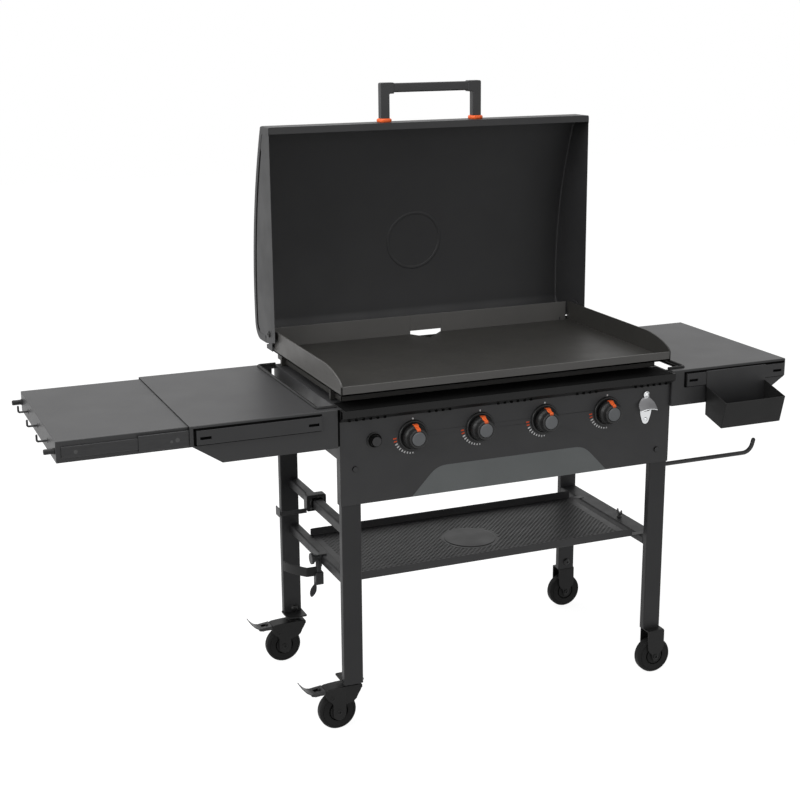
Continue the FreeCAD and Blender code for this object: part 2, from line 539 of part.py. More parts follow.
# Hinge brackets on the rear panel, each with an ear outside the griddle's wall.
EAR_IN = "body_half"
EAR_OUT = "body_half + bracket_thick"
brackets = []
for side, sign in SIDES:
    solid = join("bracket_solid_%s" % side, [
        span("bracket_ear_%s" % side, sign, EAR_OUT, EAR_IN, ("body_back", "bracket_low"),
             ("hinge_back + 16", "hinge_high + 16")),
        span("bracket_foot_%s" % side, sign, EAR_OUT, "body_half - 36", ("body_back", "bracket_low"),
             ("body_back + bracket_thick", "frame_top"))])
    brackets.append(cut("bracket_%s" % side, solid, [
        rod("bracket_bore_%s" % side, ("%d * (body_half - 1)" % sign, "hinge_back", "hinge_high"),
            "+X" if sign > 0 else "-X", "hinge_radius", "bracket_thick + 2")]))
node(group("hinge_brackets", brackets))

# Side shelves: a top with a slot beside the griddle, and a deep apron at the front and the back.
EXT_TOP = "(shelf_top - ext_sink)"
SLIDE_MID = "(shelf_top - slide_drop)"
HOOK_HIGH = "(%s - hook_drop)" % EXT_TOP


def shelf(side, sign, reach):
    out = "%d * (%s)"

    def at(text):
        return out % (sign, text)

    low, high = "shelf_top - sheet", "shelf_top"
    parts = [slab("%s_top" % side, "Z", low, high,
                  [(at(reach), "shelf_front"), (at("body_half"), "shelf_front"), (at("body_half"), "slot_front"),
                   (at("slot_out"), "slot_front"), (at("slot_out"), "slot_back"), (at("body_half"), "slot_back"),
                   (at("body_half"), "shelf_back"), (at(reach), "shelf_back")])]
    for end, start, stop in (("front", "shelf_front", "shelf_front + sheet"),
                             ("back", "shelf_back - sheet", "shelf_back")):
        parts.append(slab("%s_apron_%s" % (side, end), "Y", start, stop,
                          [(at(reach), high), (at("body_half"), high), (at("body_half"), "shelf_top - apron_drop"),
                           (at("(%s) - apron_knee" % reach), "shelf_top - apron_drop"),
                           (at(reach), "shelf_top - apron_end")]))
    rim = "shelf_top - slot_rim"
    parts.append(span("%s_rim_long" % side, sign, "slot_out + sheet", "slot_out",
                      ("slot_front - sheet", rim), ("slot_back + sheet", high)))
    parts.append(span("%s_rim_front" % side, sign, "slot_out + sheet", "body_half",
                      ("slot_front - sheet", rim), ("slot_front", high)))
    parts.append(span("%s_rim_back" % side, sign, "slot_out + sheet", "body_half",
                      ("slot_back", rim), ("slot_back + sheet", high)))
    return parts


node(join("left_shelf", shelf("left", -1, "left_reach")))
node(join("right_shelf", shelf("right", 1, "right_reach") + [
    span("right_end_apron", 1, "right_reach", "right_reach - sheet",
         ("shelf_front", "shelf_top - apron_end"), ("shelf_back", "shelf_top"))]))

# Shelf extension on three-part slides, one at each side.
EXT_END = "ext_long - ext_reach"
EXT_LOW = EXT_TOP + " - ext_drop"
node(join("extension_shelf", [
    box("ext_top_sheet", ("-ext_reach", "ext_front", EXT_TOP + " - sheet"), (EXT_END, "ext_back", EXT_TOP)),
    box("ext_apron_front", ("-ext_reach", "ext_front", EXT_LOW), (EXT_END, "ext_front + sheet", EXT_TOP)),
    box("ext_apron_back", ("-ext_reach", "ext_back - sheet", EXT_LOW), (EXT_END, "ext_back", EXT_TOP)),
    box("ext_apron_end", ("-ext_reach", "ext_front", EXT_LOW), ("sheet - ext_reach", "ext_back", EXT_TOP))]))
RUN_FRONT = "shelf_front + sheet"
RUN_BACK = "shelf_back - sheet"
STEP = "(slide_thick + slide_gap)"


def slide_pair(name, start, stop, high, front, back):
    """Two mirrored slide members; front and back give each one's two faces across Y."""
    low, top = "%s - %s / 2" % (SLIDE_MID, high), "%s + %s / 2" % (SLIDE_MID, high)
    return group(name, [box(name + "_front", (start, front[0], low), (stop, front[1], top)),
                        box(name + "_back", (start, back[0], low), (stop, back[1], top))])


node(slide_pair("slide_outers", "-outer_start", "-outer_end", "outer_high",
                (RUN_FRONT, RUN_FRONT + " + slide_thick"), (RUN_BACK + " - slide_thick", RUN_BACK)))
node(slide_pair("slide_middles", "-middle_reach", "middle_long - middle_reach", "middle_high",
                (RUN_FRONT + " + " + STEP, RUN_FRONT + " + " + STEP + " + slide_thick"),
                (RUN_BACK + " - " + STEP + " - slide_thick", RUN_BACK + " - " + STEP)))
node(slide_pair("slide_inners", "12 - ext_reach", "ext_long - ext_reach", "inner_high",
                (RUN_FRONT + " + 2 * " + STEP, "ext_front"), ("ext_back", RUN_BACK + " - 2 * " + STEP)))


def hooks(name, sign, face):
    """Three L-shaped tool hooks on a shelf's end."""
    made = []
    for i in (-1, 0, 1):
        back = "hook_mid + %d * hook_pitch" % i
        out = "%d * (%s)" % (sign, face)
        far = "%d * (%s + hook_out)" % (sign, face)
        made.append(join("%s_%d" % (name, i + 2), [
            rod("%s_arm_%d" % (name, i + 2), (out, back, HOOK_HIGH), "+X" if sign > 0 else "-X",
                "hook_radius", "hook_out + hook_radius"),
            rod("%s_tip_%d" % (name, i + 2), (far, back, HOOK_HIGH + " - hook_radius"), "+Z",
                "hook_radius", "hook_up + hook_radius")]))
    return group(name, made)


node(hooks("extension_hooks", -1, "ext_reach"))
node(hooks("right_hooks", 1, "right_reach"))
node(group("extension_bumpers", [rod("bumper_%d" % i, ("-ext_reach", back, HOOK_HIGH), "-X",
                                     "bump_radius", "bump_long") for i, back in enumerate(("bump_front",
                                                                                           "bump_back"))]))

# Accessory rails on the front aprons: a slotted face held off by its two folded ends.
RAIL_BACK = "shelf_front - bar_gap"
RAIL_FACE = "shelf_front - bar_gap - bar_thick"
SLOT_MID = "(bar_low + bar_top) / 2 - 1"


def accessory_rail(side, sign, start, stop):
    parts = [span("%s_rail_face" % side, sign, stop, start, (RAIL_FACE, "bar_low"), (RAIL_BACK, "bar_top")),
             span("%s_rail_end_in" % side, sign, start + " + bar_thick", start, (RAIL_FACE, "bar_low"),
                  ("shelf_front", "bar_top")),
             span("%s_rail_end_out" % side, sign, stop, stop + " - bar_thick", (RAIL_FACE, "bar_low"),
                  ("shelf_front", "bar_top"))]
    slots = []
    for label, inner in (("in", start + " + 4"), ("out", stop + " - 4 - bar_slot")):
        slots.append(span("%s_rail_slot_%s" % (side, label), sign, inner + " + bar_slot", inner,
                          (RAIL_FACE + " - 1", SLOT_MID + " - bar_slot_high / 2"),
                          (RAIL_BACK + " + 1", SLOT_MID + " + bar_slot_high / 2")))
    return cut("%s_rail" % side, join("%s_rail_solid" % side, parts), slots)


node(group("accessory_rails", [accessory_rail("left", -1, "bar_start", "bar_stop"),
                               accessory_rail("right", 1, "bar_start", "right_bar_stop")]))

# Caddy bin hooked over the right rail.
BIN_BACK = "(" + RAIL_FACE + " - hang_gap)"
LEAN = "(bin_front - bin_foot) / (bin_front_top - bin_low)"
bin_outer = slab("bin_outer", "X", "bin_left", "bin_left + bin_wide",
                 [(BIN_BACK, "bin_low"), (BIN_BACK, "bin_side_top"), ("-bin_front", "bin_front_top"),
                  ("-bin_foot", "bin_low")])
bin_inner = slab("bin_inner", "X", "bin_left + sheet", "bin_left + bin_wide - sheet",
                 [(BIN_BACK + " - sheet", "bin_low + sheet"), (BIN_BACK + " - sheet", "bar_top"),
                  ("1.6 - bin_foot - (bar_top - bin_low) * " + LEAN, "bar_top"),
                  ("1.6 - bin_foot - sheet * " + LEAN, "bin_low + sheet")])
node(join("caddy_bin", [
    cut("bin_tub", bin_outer, [bin_inner]),
    box("bin_back", ("bin_left", BIN_BACK + " - sheet", "bin_low"),
        ("bin_left + bin_wide", BIN_BACK, "bar_top + hang_gap + sheet")),
    box("bin_hook_top", ("bin_left + 6", BIN_BACK + " - sheet", "bar_top + hang_gap"),
        ("bin_left + bin_wide - 6", RAIL_BACK + " + 3.2", "bar_top + hang_gap + sheet")),
    box("bin_hook_drop", ("bin_left + 6", RAIL_BACK + " + 3.2 - sheet", "bar_top - hang_drop"),
        ("bin_left + bin_wide - 6", RAIL_BACK + " + 3.2", "bar_top + hang_gap + sheet"))]))

# Towel rod out of the right front leg, its end bent up.
bend_at = FreeCAD.Vector(size("towel_reach"), size("leg_deep") / 2, size("towel_high"))
rod_start = FreeCAD.Vector(size("leg_half"), bend_at.y, bend_at.z)
rod_tip = bend_at + FreeCAD.Vector(size("towel_rise"), 0, size("towel_rise"))
towel_parts = [Part.makeCylinder(size("towel_radius"), (b - a).Length, a, b - a)
               for a, b in ((rod_start, bend_at), (bend_at, rod_tip))]
towel = towel_parts[0].fuse([towel_parts[1], Part.makeSphere(size("towel_radius"), bend_at)]).removeSplitter()
node(feature("towel_rod", towel))

# Bottle opener on the control panel: a back plate, a boss and a hooked lip.


def from_opener(across):
    return "opener_out + (%s)" % across


OPENER_FACE = "-(sheet + opener_thick)"
opener_plate = slab("opener_plate", "Y", OPENER_FACE, "-sheet", [
    (from_opener(x), z) for x, z in (
        ("-opener_half", "opener_high + 24"), ("6 - opener_half", "opener_high - 9"), ("-8", "opener_foot"),
        ("8", "opener_foot"), ("opener_half - 6", "opener_high - 9"), ("opener_half", "opener_high + 24"),
        ("8", "opener_high + 30"), ("8", "boss_high"), ("-8", "boss_high"), ("-8", "opener_high + 30"))])
opener_parts = [opener_plate, rod("opener_boss", (from_opener("0"), "-sheet", "boss_high"), "-Y",
                                  "boss_radius", "10"),
                box("opener_lip", (from_opener("-opener_half"), "-(sheet + lip_reach)", "opener_high"),
                    (from_opener("opener_half"), "4 - (sheet + lip_reach)", "opener_high + 8"))]
for side, sign in SIDES:
    edge = ("opener_half - 4", "opener_half") if sign > 0 else ("-opener_half", "4 - opener_half")
    opener_parts.append(box("opener_cheek_" + side, (from_opener(edge[0]), "-(sheet + lip_reach)", "opener_high"),
                            (from_opener(edge[1]), "-sheet", "opener_high + 22")))
node(join("bottle_opener", opener_parts))

# Tank hanger on the upper left bar and tank clamp on the lower one.
BAR_IN = "(leg_half - leg_wide)"
BAR_OUT = "(leg_half - leg_wide + bar_slim)"
hanger_left = "-(%s + 11)" % BAR_OUT
hanger_right = "hanger_wide - (%s + 11)" % BAR_OUT
HANGER_LOW = "high_bar + bar_high + 7.5 - hanger_high"
node(cut("tank_hanger", box("hanger_block", (hanger_left, "hanger_back", HANGER_LOW),
                            (hanger_right, "hanger_back + hanger_deep", HANGER_LOW + " + hanger_high")),
         [box("hanger_hollow", (hanger_left + " + 2.5", "hanger_back + 2.5", HANGER_LOW + " - 1"),
              (hanger_right + " - 2.5", "hanger_back + hanger_deep + 1", "high_bar + bar_high")),
          box("hanger_passage", ("-" + BAR_OUT, "hanger_back - 1", "high_bar"),
              ("-" + BAR_IN, "hanger_back + 4", "high_bar + bar_high"))]))
ARM_LOW = HANGER_LOW + " - 2.5"
node(join("tank_hook", [
    box("hook_arm", ("-arm_reach", "hanger_back + 3", ARM_LOW),
        (hanger_left, "hanger_back + 3 + arm_thick", ARM_LOW + " + arm_high")),
    box("hook_tip", ("-arm_reach", "hanger_back - tip_front", ARM_LOW),
        ("tip_thick - arm_reach", "hanger_back + tip_back", ARM_LOW + " + tip_high"))]))

# The clamp hangs on the bar by a lipped cheek, and carries a post, a block and a curved strap.
CLAMP = ("clamp_back - clamp_wide / 2", "clamp_back + clamp_wide / 2")
POST_X = "-(%s + clamp_out)" % BAR_OUT
strap_points = [FreeCAD.Vector(-size("strap_bend"), size("clamp_back"), 0),
                FreeCAD.Vector(-size("strap_mid"), size("clamp_back") + 33, 0),
                FreeCAD.Vector(-size("strap_far"), size("clamp_back") + 70, 0)]
strap_wire = Part.Wire([Part.Arc(*strap_points).toShape()])
strap_solid = strap_wire.makeOffset2D(-size("strap_thick"), join=2, fill=True, openResult=True).extrude(
    FreeCAD.Vector(0, 0, size("strap_high")))
strap_solid.translate(FreeCAD.Vector(0, 0, size("strap_low")))
BAR_ROOF = "low_bar + bar_high"
node(cut("tank_clamp", join("clamp_solid", [
    box("clamp_cheek", ("-(%s + 5)" % BAR_OUT, CLAMP[0], "low_bar - 4"), ("-" + BAR_OUT, CLAMP[1],
                                                                          BAR_ROOF + " + 5")),
    box("clamp_lip", ("-(%s + 5)" % BAR_OUT, CLAMP[0], BAR_ROOF + " + 2"), ("17 - " + BAR_OUT, CLAMP[1],
                                                                            BAR_ROOF + " + 5")),
    rod("clamp_post", (POST_X, "clamp_back", "block_low + block_high - 1"), "+Z", "post_radius",
        "post_top + 1 - block_low - block_high"),
    box("clamp_block", (POST_X + " - block_half", CLAMP[0], "block_low"),
        (POST_X + " + block_half", CLAMP[1], "block_low + block_high")),
    box("strap_root", ("-strap_bend", "clamp_back - strap_thick", "strap_low"),
        (POST_X, "clamp_back", "strap_low + strap_high")),
    feature("strap_arm", strap_solid)]),
    [rod("clamp_bore", ("-(%s + 6)" % BAR_OUT, "clamp_back", "screw_high"), "+X", "screw_radius + run_gap", "7"),
     box("paddle_slot", (POST_X + " - block_half - 1", CLAMP[0] + " - 1", "block_low - 1"),
         (POST_X + " - block_half + 4.3", CLAMP[1] + " + 1", "block_low + 9"))]))
clamp_screw = join("clamp_screw", [
    rod("screw_shank", ("-(%s + screw_out_end)" % BAR_OUT, "clamp_back", "screw_high"), "+X",
        "screw_radius", "screw_out_end"),
    rod("screw_wheel", ("-(%s + screw_out_end)" % BAR_OUT, "clamp_back", "screw_high"), "+X",
        "wheel_half", "screw_out_end - wheel_out")])


def from_block(across):
    return "%s - block_half + (%s)" % (POST_X, across)


paddle = slab("paddle_blade", "Y", "clamp_back - paddle_thick / 2", "clamp_back + paddle_thick / 2",
              [(from_block(x), "block_low + (%s)" % z) for x, z in (
                  ("0", 7), ("4", 7), ("4", "-5"), ("3", "-16"), ("-1", "-26"), ("-8", "-34"), ("-12", "-33"),
                  ("-13", "-24"), ("-11", "-14"), ("-3", "-4"), ("0", "-1"))])
node(paddle)
paddle.Label = "clamp_paddle"

# Grease cup hung behind the plate's slot on two runners.
cup_outer = box("cup_outer", ("-cup_half", "cup_front", "cup_low"), ("cup_half", "cup_front + cup_deep", "cup_top"))
cup_rim = box("cup_rim", ("-(cup_half + 5)", "cup_front", "cup_top - sheet"),
              ("cup_half + 5", "cup_front + cup_deep", "cup_top"))
cup_inner = box("cup_inner", ("sheet - cup_half", "cup_front + sheet", "cup_low + sheet"),
                ("cup_half - sheet", "cup_front + cup_deep - sheet", "cup_top + 1"))
node(cut("grease_cup", join("cup_solid", [cup_outer, cup_rim]), [cup_inner]))
node(group("cup_runners", [join("runner_%s" % side, [
    span("runner_web_%s" % side, sign, "cup_half + 5 + hang_gap + runner_thick", "cup_half + 5 + hang_gap",
         ("body_back", "cup_top - 16"), ("cup_front + cup_deep - 8", "cup_top")),
    span("runner_ledge_%s" % side, sign, "cup_half + 5 + hang_gap + runner_thick", "cup_half + hang_gap",
         ("body_back", "cup_top - sheet - hang_gap - runner_thick"),
         ("cup_front + cup_deep - 8", "cup_top - sheet - hang_gap"))]) for side, sign in SIDES]))

# Casters. The left pair swivel and have brakes; the right pair are fixed under their legs.
LEG_MID = "(leg_half - leg_wide / 2)"
SWIVEL = (("front", "leg_deep / 2 + swivel_inset"), ("rear", "rear_leg + leg_deep / 2 - swivel_inset"))
FIXED = (("front", "leg_deep / 2 - fixed_outset"), ("rear", "rear_leg + leg_deep / 2 + fixed_outset"))
FORK_HALF = "(wheel_thick / 2 + fork_gap)"
CHEEKS = (("near", "-%s" % FORK_HALF, "fork_thick - %s" % FORK_HALF),
          ("far", "%s - fork_thick" % FORK_HALF, FORK_HALF))
PAD_LOW = "leg_foot - pad_thick"
FORK_TOP = "leg_foot - pad_thick - pad_gap - neck_high"

pads = []
for end, middle in SWIVEL:
    plate = box("pad_plate_" + end, ("-%s - pad_half" % LEG_MID, middle + " - pad_half", PAD_LOW),
                ("pad_half - " + LEG_MID, middle + " + pad_half", "leg_foot"))
    pads.append(cut("pad_" + end, plate, [rod("pad_bore_" + end, ("-" + LEG_MID, middle, PAD_LOW + " - 1"), "+Z",
                                              "spigot_radius + run_gap", "pad_thick + 2")]))
node(group("swivel_pads", pads))


def wheel(name, across, middle):
    """A wheel with a shallow ring on each face and a boss that meets the fork."""
    half = "wheel_thick / 2"
    points = [("axle_radius + run_gap", "-(%s + fork_gap - fork_thick - pad_gap)" % half),
              ("axle_radius + 4", "-(%s + fork_gap - fork_thick - pad_gap)" % half), ("axle_radius + 4",
                                                                                      "-" + half),
              ("hub_radius", "-" + half), ("hub_radius", "groove_deep - " + half),
              ("hub_radius + 6", "groove_deep - " + half), ("hub_radius + 6", "-" + half),
              ("wheel_radius - wheel_tread", "-" + half), ("wheel_radius", "4 - " + half)]
    far = [(radius, "-(%s)" % depth) for radius, depth in reversed(points)]
    piece = turned(name, points + far, (across, middle, "wheel_radius"))
    return node(piece, (across, middle, "wheel_radius"))


for end, middle in SWIVEL:
    stem_x = "-" + LEG_MID

    def rel(text, base=stem_x):
        return "%s + (%s)" % (base, text)

    cheeks = [slab("cheek_%s_%s" % (end, label), "Y", "%s + (%s)" % (middle, start), "%s + (%s)" % (middle, stop), [
        (rel("26"), FORK_TOP), (rel("26"), FORK_TOP + " - 9"), (rel("2"), "wheel_radius + 26"),
        (rel("cheek_foot - trail"), "wheel_radius"), (rel("cheek_foot - 5 - trail"), "wheel_radius - 11"),
        (rel("5 - cheek_foot - trail"), "wheel_radius - 11"), (rel("-cheek_foot - trail"), "wheel_radius"),
        (rel("-trail - 22"), "wheel_radius + 36"), (rel("-trail - 34"), "wheel_radius + 50"),
        (rel("-trail - 30"), "wheel_radius + 62"), (rel("-trail + 6"), FORK_TOP)])
        for label, start, stop in CHEEKS]
    crown_plate = box("fork_crown_" + end, (rel("-trail + 6"), middle + " - " + FORK_HALF,
                                            FORK_TOP + " - fork_thick"),
                      (rel("26"), middle + " + " + FORK_HALF, FORK_TOP))
    neck = rod("fork_neck_" + end, (stem_x, middle, FORK_TOP), "+Z", "neck_radius", "neck_high")
    spigot = rod("fork_spigot_" + end, (stem_x, middle, FORK_TOP), "+Z", "spigot_radius",
                 "neck_high + pad_gap + pad_thick - run_gap")
    fork = join("swivel_frame_" + end, cheeks + [crown_plate, neck, spigot])
    axle = join("swivel_axle_" + end, [
        rod("swivel_axle_pin_" + end, (rel("-trail"), "%s - %s - 4" % (middle, FORK_HALF), "wheel_radius"), "+Y",
            "axle_radius", "2 * %s + 8" % FORK_HALF),
        rod("swivel_axle_head_" + end, (rel("-trail"), "%s - %s" % (middle, FORK_HALF), "wheel_radius"), "-Y",
            "axle_radius + 3", "4")])
    pivot = rod("lever_pin_" + end, (rel("-trail - 24"), "%s - %s" % (middle, FORK_HALF),
                                     "wheel_radius + 54"), "+Y",
                "pivot_radius", "2 * " + FORK_HALF)
    node(group("swivel_fork_" + end, [cut("swivel_body_" + end, fork, [
        rod("fork_axle_hole_" + end, (rel("-trail"), "%s - %s - 1" % (middle, FORK_HALF), "wheel_radius"), "+Y",
            "axle_radius", "2 * %s + 2" % FORK_HALF),
        rod("fork_pivot_hole_" + end, (rel("-trail - 24"), "%s - %s - 1" % (middle, FORK_HALF),
                                       "wheel_radius + 54"),
            "+Y", "pivot_radius", "2 * %s + 2" % FORK_HALF)]), axle, pivot]))
    lever = slab("lever_blade_" + end, "Y", middle + " - lever_half", middle + " + lever_half", [
        (rel("-trail - 18"), "wheel_radius + 50"), (rel("-trail - 18"), "wheel_radius + 60"),
        (rel("-trail - 62"), "wheel_radius + 60"), (rel("-trail - 80"), "wheel_radius + 66"),
        (rel("-lever_reach"), "wheel_radius + 88"), (rel("-lever_reach - 2"), "wheel_radius + 86"),
        (rel("-trail - 84"), "wheel_radius + 60"), (rel("-trail - 68"), "wheel_radius + 51")])
    node(cut("brake_lever_" + end, lever, [
        rod("lever_bore_" + end, (rel("-trail - 24"), middle + " - lever_half - 1", "wheel_radius + 54"), "+Y",
            "pivot_radius + run_gap", "2 * lever_half + 2")]))
    wheel("wheel_%s_left" % end, rel("-trail"), middle)

fixed = []
for end, middle in FIXED:
    base = "%s + fixed_shift" % LEG_MID

    def rel(text, base=base):
        return "%s + (%s)" % (base, text)

    parts = [slab("fixed_cheek_%s_%s" % (end, label), "Y", "%s + (%s)" % (middle, start),
                  "%s + (%s)" % (middle, stop), [
        (rel("-cheek_half"), "leg_foot"), (rel("cheek_half"), "leg_foot"), (rel("cheek_half"), "leg_foot - 26"),
        (rel("cheek_foot"), "wheel_radius"), (rel("cheek_foot - 5"), "wheel_radius - 11"),
        (rel("5 - cheek_foot"), "wheel_radius - 11"), (rel("-cheek_foot"), "wheel_radius"),
        (rel("-cheek_half"), "leg_foot - 26")]) for label, start, stop in CHEEKS]
    parts.append(box("fixed_crown_" + end, (rel("-cheek_half"), middle + " - " + FORK_HALF, PAD_LOW),
                     (rel("cheek_half"), middle + " + " + FORK_HALF, "leg_foot")))
    fixed.append(cut("fixed_frame_" + end, join("fixed_solid_" + end, parts), [
        rod("fixed_axle_hole_" + end, (base, "%s - %s - 1" % (middle, FORK_HALF), "wheel_radius"), "+Y",
            "axle_radius", "2 * %s + 2" % FORK_HALF)]))
    fixed.append(join("fixed_axle_" + end, [
        rod("fixed_axle_pin_" + end, (base, "%s - %s - 4" % (middle, FORK_HALF), "wheel_radius"), "+Y",
            "axle_radius", "2 * %s + 8" % FORK_HALF),
        rod("fixed_axle_head_" + end, (base, "%s - %s" % (middle, FORK_HALF), "wheel_radius"), "-Y",
            "axle_radius + 3", "4")]))
    wheel("wheel_%s_right" % end, base, middle)
node(group("fixed_forks", fixed))

# Bolts and screws that show.
bolts = [clamp_screw]
for side, sign in SIDES:
    way = "+X" if sign > 0 else "-X"
    bolts.append(join("hinge_bolt_%s" % side, [
        rod("hinge_shank_%s" % side, ("%d * (body_half - 4)" % sign, "hinge_back", "hinge_high"), way,
            "hinge_radius", "hood_half - body_half + 5"),
        rod("hinge_nut_%s" % side, ("%d * (body_half - 4)" % sign, "hinge_back", "hinge_high"), way, "8", "4"),
        rod("hinge_head_%s" % side, ("%d * (hood_half + hang_gap)" % sign, "hinge_back", "hinge_high"),
            way, "9", "4")]))
for label, x, z in (("rear_left", "pad_bolt_in - " + LEG_MID, "leg_foot + left_pad_bolt"),
                    ("rear_right", LEG_MID, "leg_foot + right_pad_bolt")):
    bolts.append(rod("pad_bolt_" + label, (x, "rear_leg", z), "-Y", "10", "6"))
for label, x, z in (("left", "-screw_out", "left_screw"), ("right", "screw_out", "right_screw")):
    bolts.append(rod("panel_screw_" + label, (x, "-sheet", z), "-Y", "6", "3.5"))
for side, sign in SIDES:
    bolts.append(rod("body_bolt_%s" % side, ("%d * body_half" % sign, "bolt_back", "bolt_high"),
                     "+X" if sign > 0 else "-X", "6", "3"))
bolts.append(join("tray_wing_nut", [
    rod("wing_stud", (LEG_MID, "nut_back", "low_bar + bar_high"), "+Z", "5", "12"),
    box("wing_blade", (LEG_MID + " - 2", "nut_back - nut_half", "low_bar + bar_high + 8"),
        (LEG_MID + " + 2", "nut_back + nut_half", "low_bar + bar_high + 22"))]))
node(group("frame_bolts", bolts))

doc.recompute()

# The shared frame's origin is under the middle of the assembled station's box.
bounds = FreeCAD.BoundBox()
for piece in NODES:
    bounds.add(piece.Shape.optimalBoundingBox(False, False))
for alias, value in (("origin_x", bounds.Center.x), ("origin_y", bounds.Center.y)):
    sheet.set(sheet.getCellFromAlias(alias), "%.4f" % value)
doc.recompute()

os.makedirs("parts", exist_ok=True)
for piece in doc.Objects:
    if "Invalid" in piece.State or "Error" in piece.State:
        raise RuntimeError("%s failed: %s" % (piece.Name, piece.State))
for piece in NODES:
    if piece.Shape.isNull() or not piece.Shape.isValid():
        raise RuntimeError("%s has no valid shape" % piece.Label)
for piece in NODES:
    piece.Shape.exportStep(os.path.join("parts", piece.Label + ".step"))
print(len(NODES), "sub-parts written")
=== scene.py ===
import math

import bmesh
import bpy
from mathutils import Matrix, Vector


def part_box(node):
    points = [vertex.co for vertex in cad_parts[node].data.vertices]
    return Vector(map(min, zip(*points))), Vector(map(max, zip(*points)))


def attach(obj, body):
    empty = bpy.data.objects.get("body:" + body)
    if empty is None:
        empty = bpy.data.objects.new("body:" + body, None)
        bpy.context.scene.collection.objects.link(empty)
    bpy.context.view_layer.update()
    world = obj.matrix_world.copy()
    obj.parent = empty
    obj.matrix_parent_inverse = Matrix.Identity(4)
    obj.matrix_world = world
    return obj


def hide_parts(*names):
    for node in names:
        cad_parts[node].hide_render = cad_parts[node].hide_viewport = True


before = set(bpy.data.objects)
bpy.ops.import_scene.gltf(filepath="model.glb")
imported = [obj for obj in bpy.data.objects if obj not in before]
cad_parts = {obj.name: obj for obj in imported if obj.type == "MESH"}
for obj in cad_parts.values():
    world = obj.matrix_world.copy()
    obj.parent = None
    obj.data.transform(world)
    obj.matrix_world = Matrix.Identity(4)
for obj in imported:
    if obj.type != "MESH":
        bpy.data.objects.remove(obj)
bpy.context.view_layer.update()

# %% [markdown]
# A gas griddle station is mostly folded sheet steel with a black powder coat, so its
# looks come from three things: edges that are folded round rather than sharp, a coat that
# is slightly uneven, and light that slides over broad flat panels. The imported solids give
# every place and size. This file dresses them: some keep their mesh and get rounded edges
# and a coat, and others are built again with the folds, grooves and grips that show.

# %% [markdown]
# The station was measured in millimetres from the middle of its front legs, at the floor.
# Working in those numbers keeps every later cell readable, so one matrix carries a
# finished mesh from them into the shared frame, in metres.

# %% Working millimetres into the shared frame
LEGS = [Vector(corner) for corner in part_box("front_legs")]
GROUND = Vector(((LEGS[0].x + LEGS[1].x) / 2, LEGS[0].y, 0))
MM = 0.001
INTO_FRAME = Matrix.Translation(GROUND) @ Matrix.Scale(MM, 4)


def at(x, y, z):
    """A working point in millimetres as a point of the shared frame in metres."""
    return INTO_FRAME @ Vector((x, y, z))


print("middle of the front legs at", tuple(round(v, 4) for v in GROUND))

# %% [markdown]
# The camera was solved from the straight edges of the stand: a long lens, standing to the
# left of the station and a little above the plate, tipped down and rolled by a third of a
# degree. The lens centre lies a pixel off the middle of the frame, which the two shift
# values carry.

# %% The camera
FRAME_PIXELS = 800
SENSOR = 36.0
FOCAL_PIXELS = 1476.26
EYE = (-1628.76, -3180.80, 1780.67)
LOOK_TURN = math.radians(22.650)
LOOK_DROP = math.radians(15.128)
LOOK_ROLL = math.radians(-0.3285)
LENS_CENTRE = (401.32, 400.55)


def look_matrix(turn, drop, roll):
    """The camera's rotation from its turn about the vertical, its drop and its roll."""
    ahead = Vector((math.sin(turn) * math.cos(drop), math.cos(turn) * math.cos(drop), -math.sin(drop)))
    right = Vector((math.cos(turn), -math.sin(turn), 0))
    above = right.cross(ahead)
    right_rolled = math.cos(roll) * right + math.sin(roll) * above
    above_rolled = math.cos(roll) * above - math.sin(roll) * right
    return Matrix((right_rolled, above_rolled, -ahead)).transposed().to_4x4()


camera_data = bpy.data.cameras.new("station_camera")
camera_data.sensor_width = SENSOR
camera_data.sensor_fit = "HORIZONTAL"
camera_data.lens = FOCAL_PIXELS / FRAME_PIXELS * SENSOR
camera_data.shift_x = -(LENS_CENTRE[0] - FRAME_PIXELS / 2) / FRAME_PIXELS
camera_data.shift_y = (LENS_CENTRE[1] - FRAME_PIXELS / 2) / FRAME_PIXELS
camera_data.clip_end = 100
camera = bpy.data.objects.new("station_camera", camera_data)
bpy.context.scene.collection.objects.link(camera)
camera.matrix_world = Matrix.Translation(at(*EYE)) @ look_matrix(LOOK_TURN, LOOK_DROP, LOOK_ROLL)
bpy.context.scene.camera = camera
print("lens", round(camera_data.lens, 2), "mm at", tuple(round(v, 3) for v in camera.location))

# %% [markdown]
# A product picture of a black object is lit softly: a white room all round it, a large lamp
# overhead, one to the left and a weaker one in front. The room is white for what the camera
# and the gloss see, and much dimmer for the light that it casts, so the black coat stays black.

# %% The room and its lamps
ROOM_WHITE = 1.0
ROOM_CAST = 0.3


def between(tree, factor, low, high, centre=(0.3, 0.7)):
    """Carry a factor into the span from low to high."""
    spread = tree.nodes.new("ShaderNodeMapRange")
    spread.inputs["From Min"].default_value, spread.inputs["From Max"].default_value = centre
    spread.inputs["To Min"].default_value = low
    spread.inputs["To Max"].default_value = high
    tree.links.new(factor, spread.inputs["Value"])
    return spread.outputs["Result"]


def white_for_the_eye(tree, dim, bright):
    """A value that is bright for camera, glossy and transmission rays and dim for the rest."""
    path = tree.nodes.new("ShaderNodeLightPath")
    seen = path.outputs["Is Camera Ray"]
    for kind in ("Is Glossy Ray", "Is Transmission Ray"):
        either = tree.nodes.new("ShaderNodeMath")
        either.operation = "MAXIMUM"
        tree.links.new(seen, either.inputs[0])
        tree.links.new(path.outputs[kind], either.inputs[1])
        seen = either.outputs[0]
    return between(tree, seen, dim, bright, centre=(0, 1))


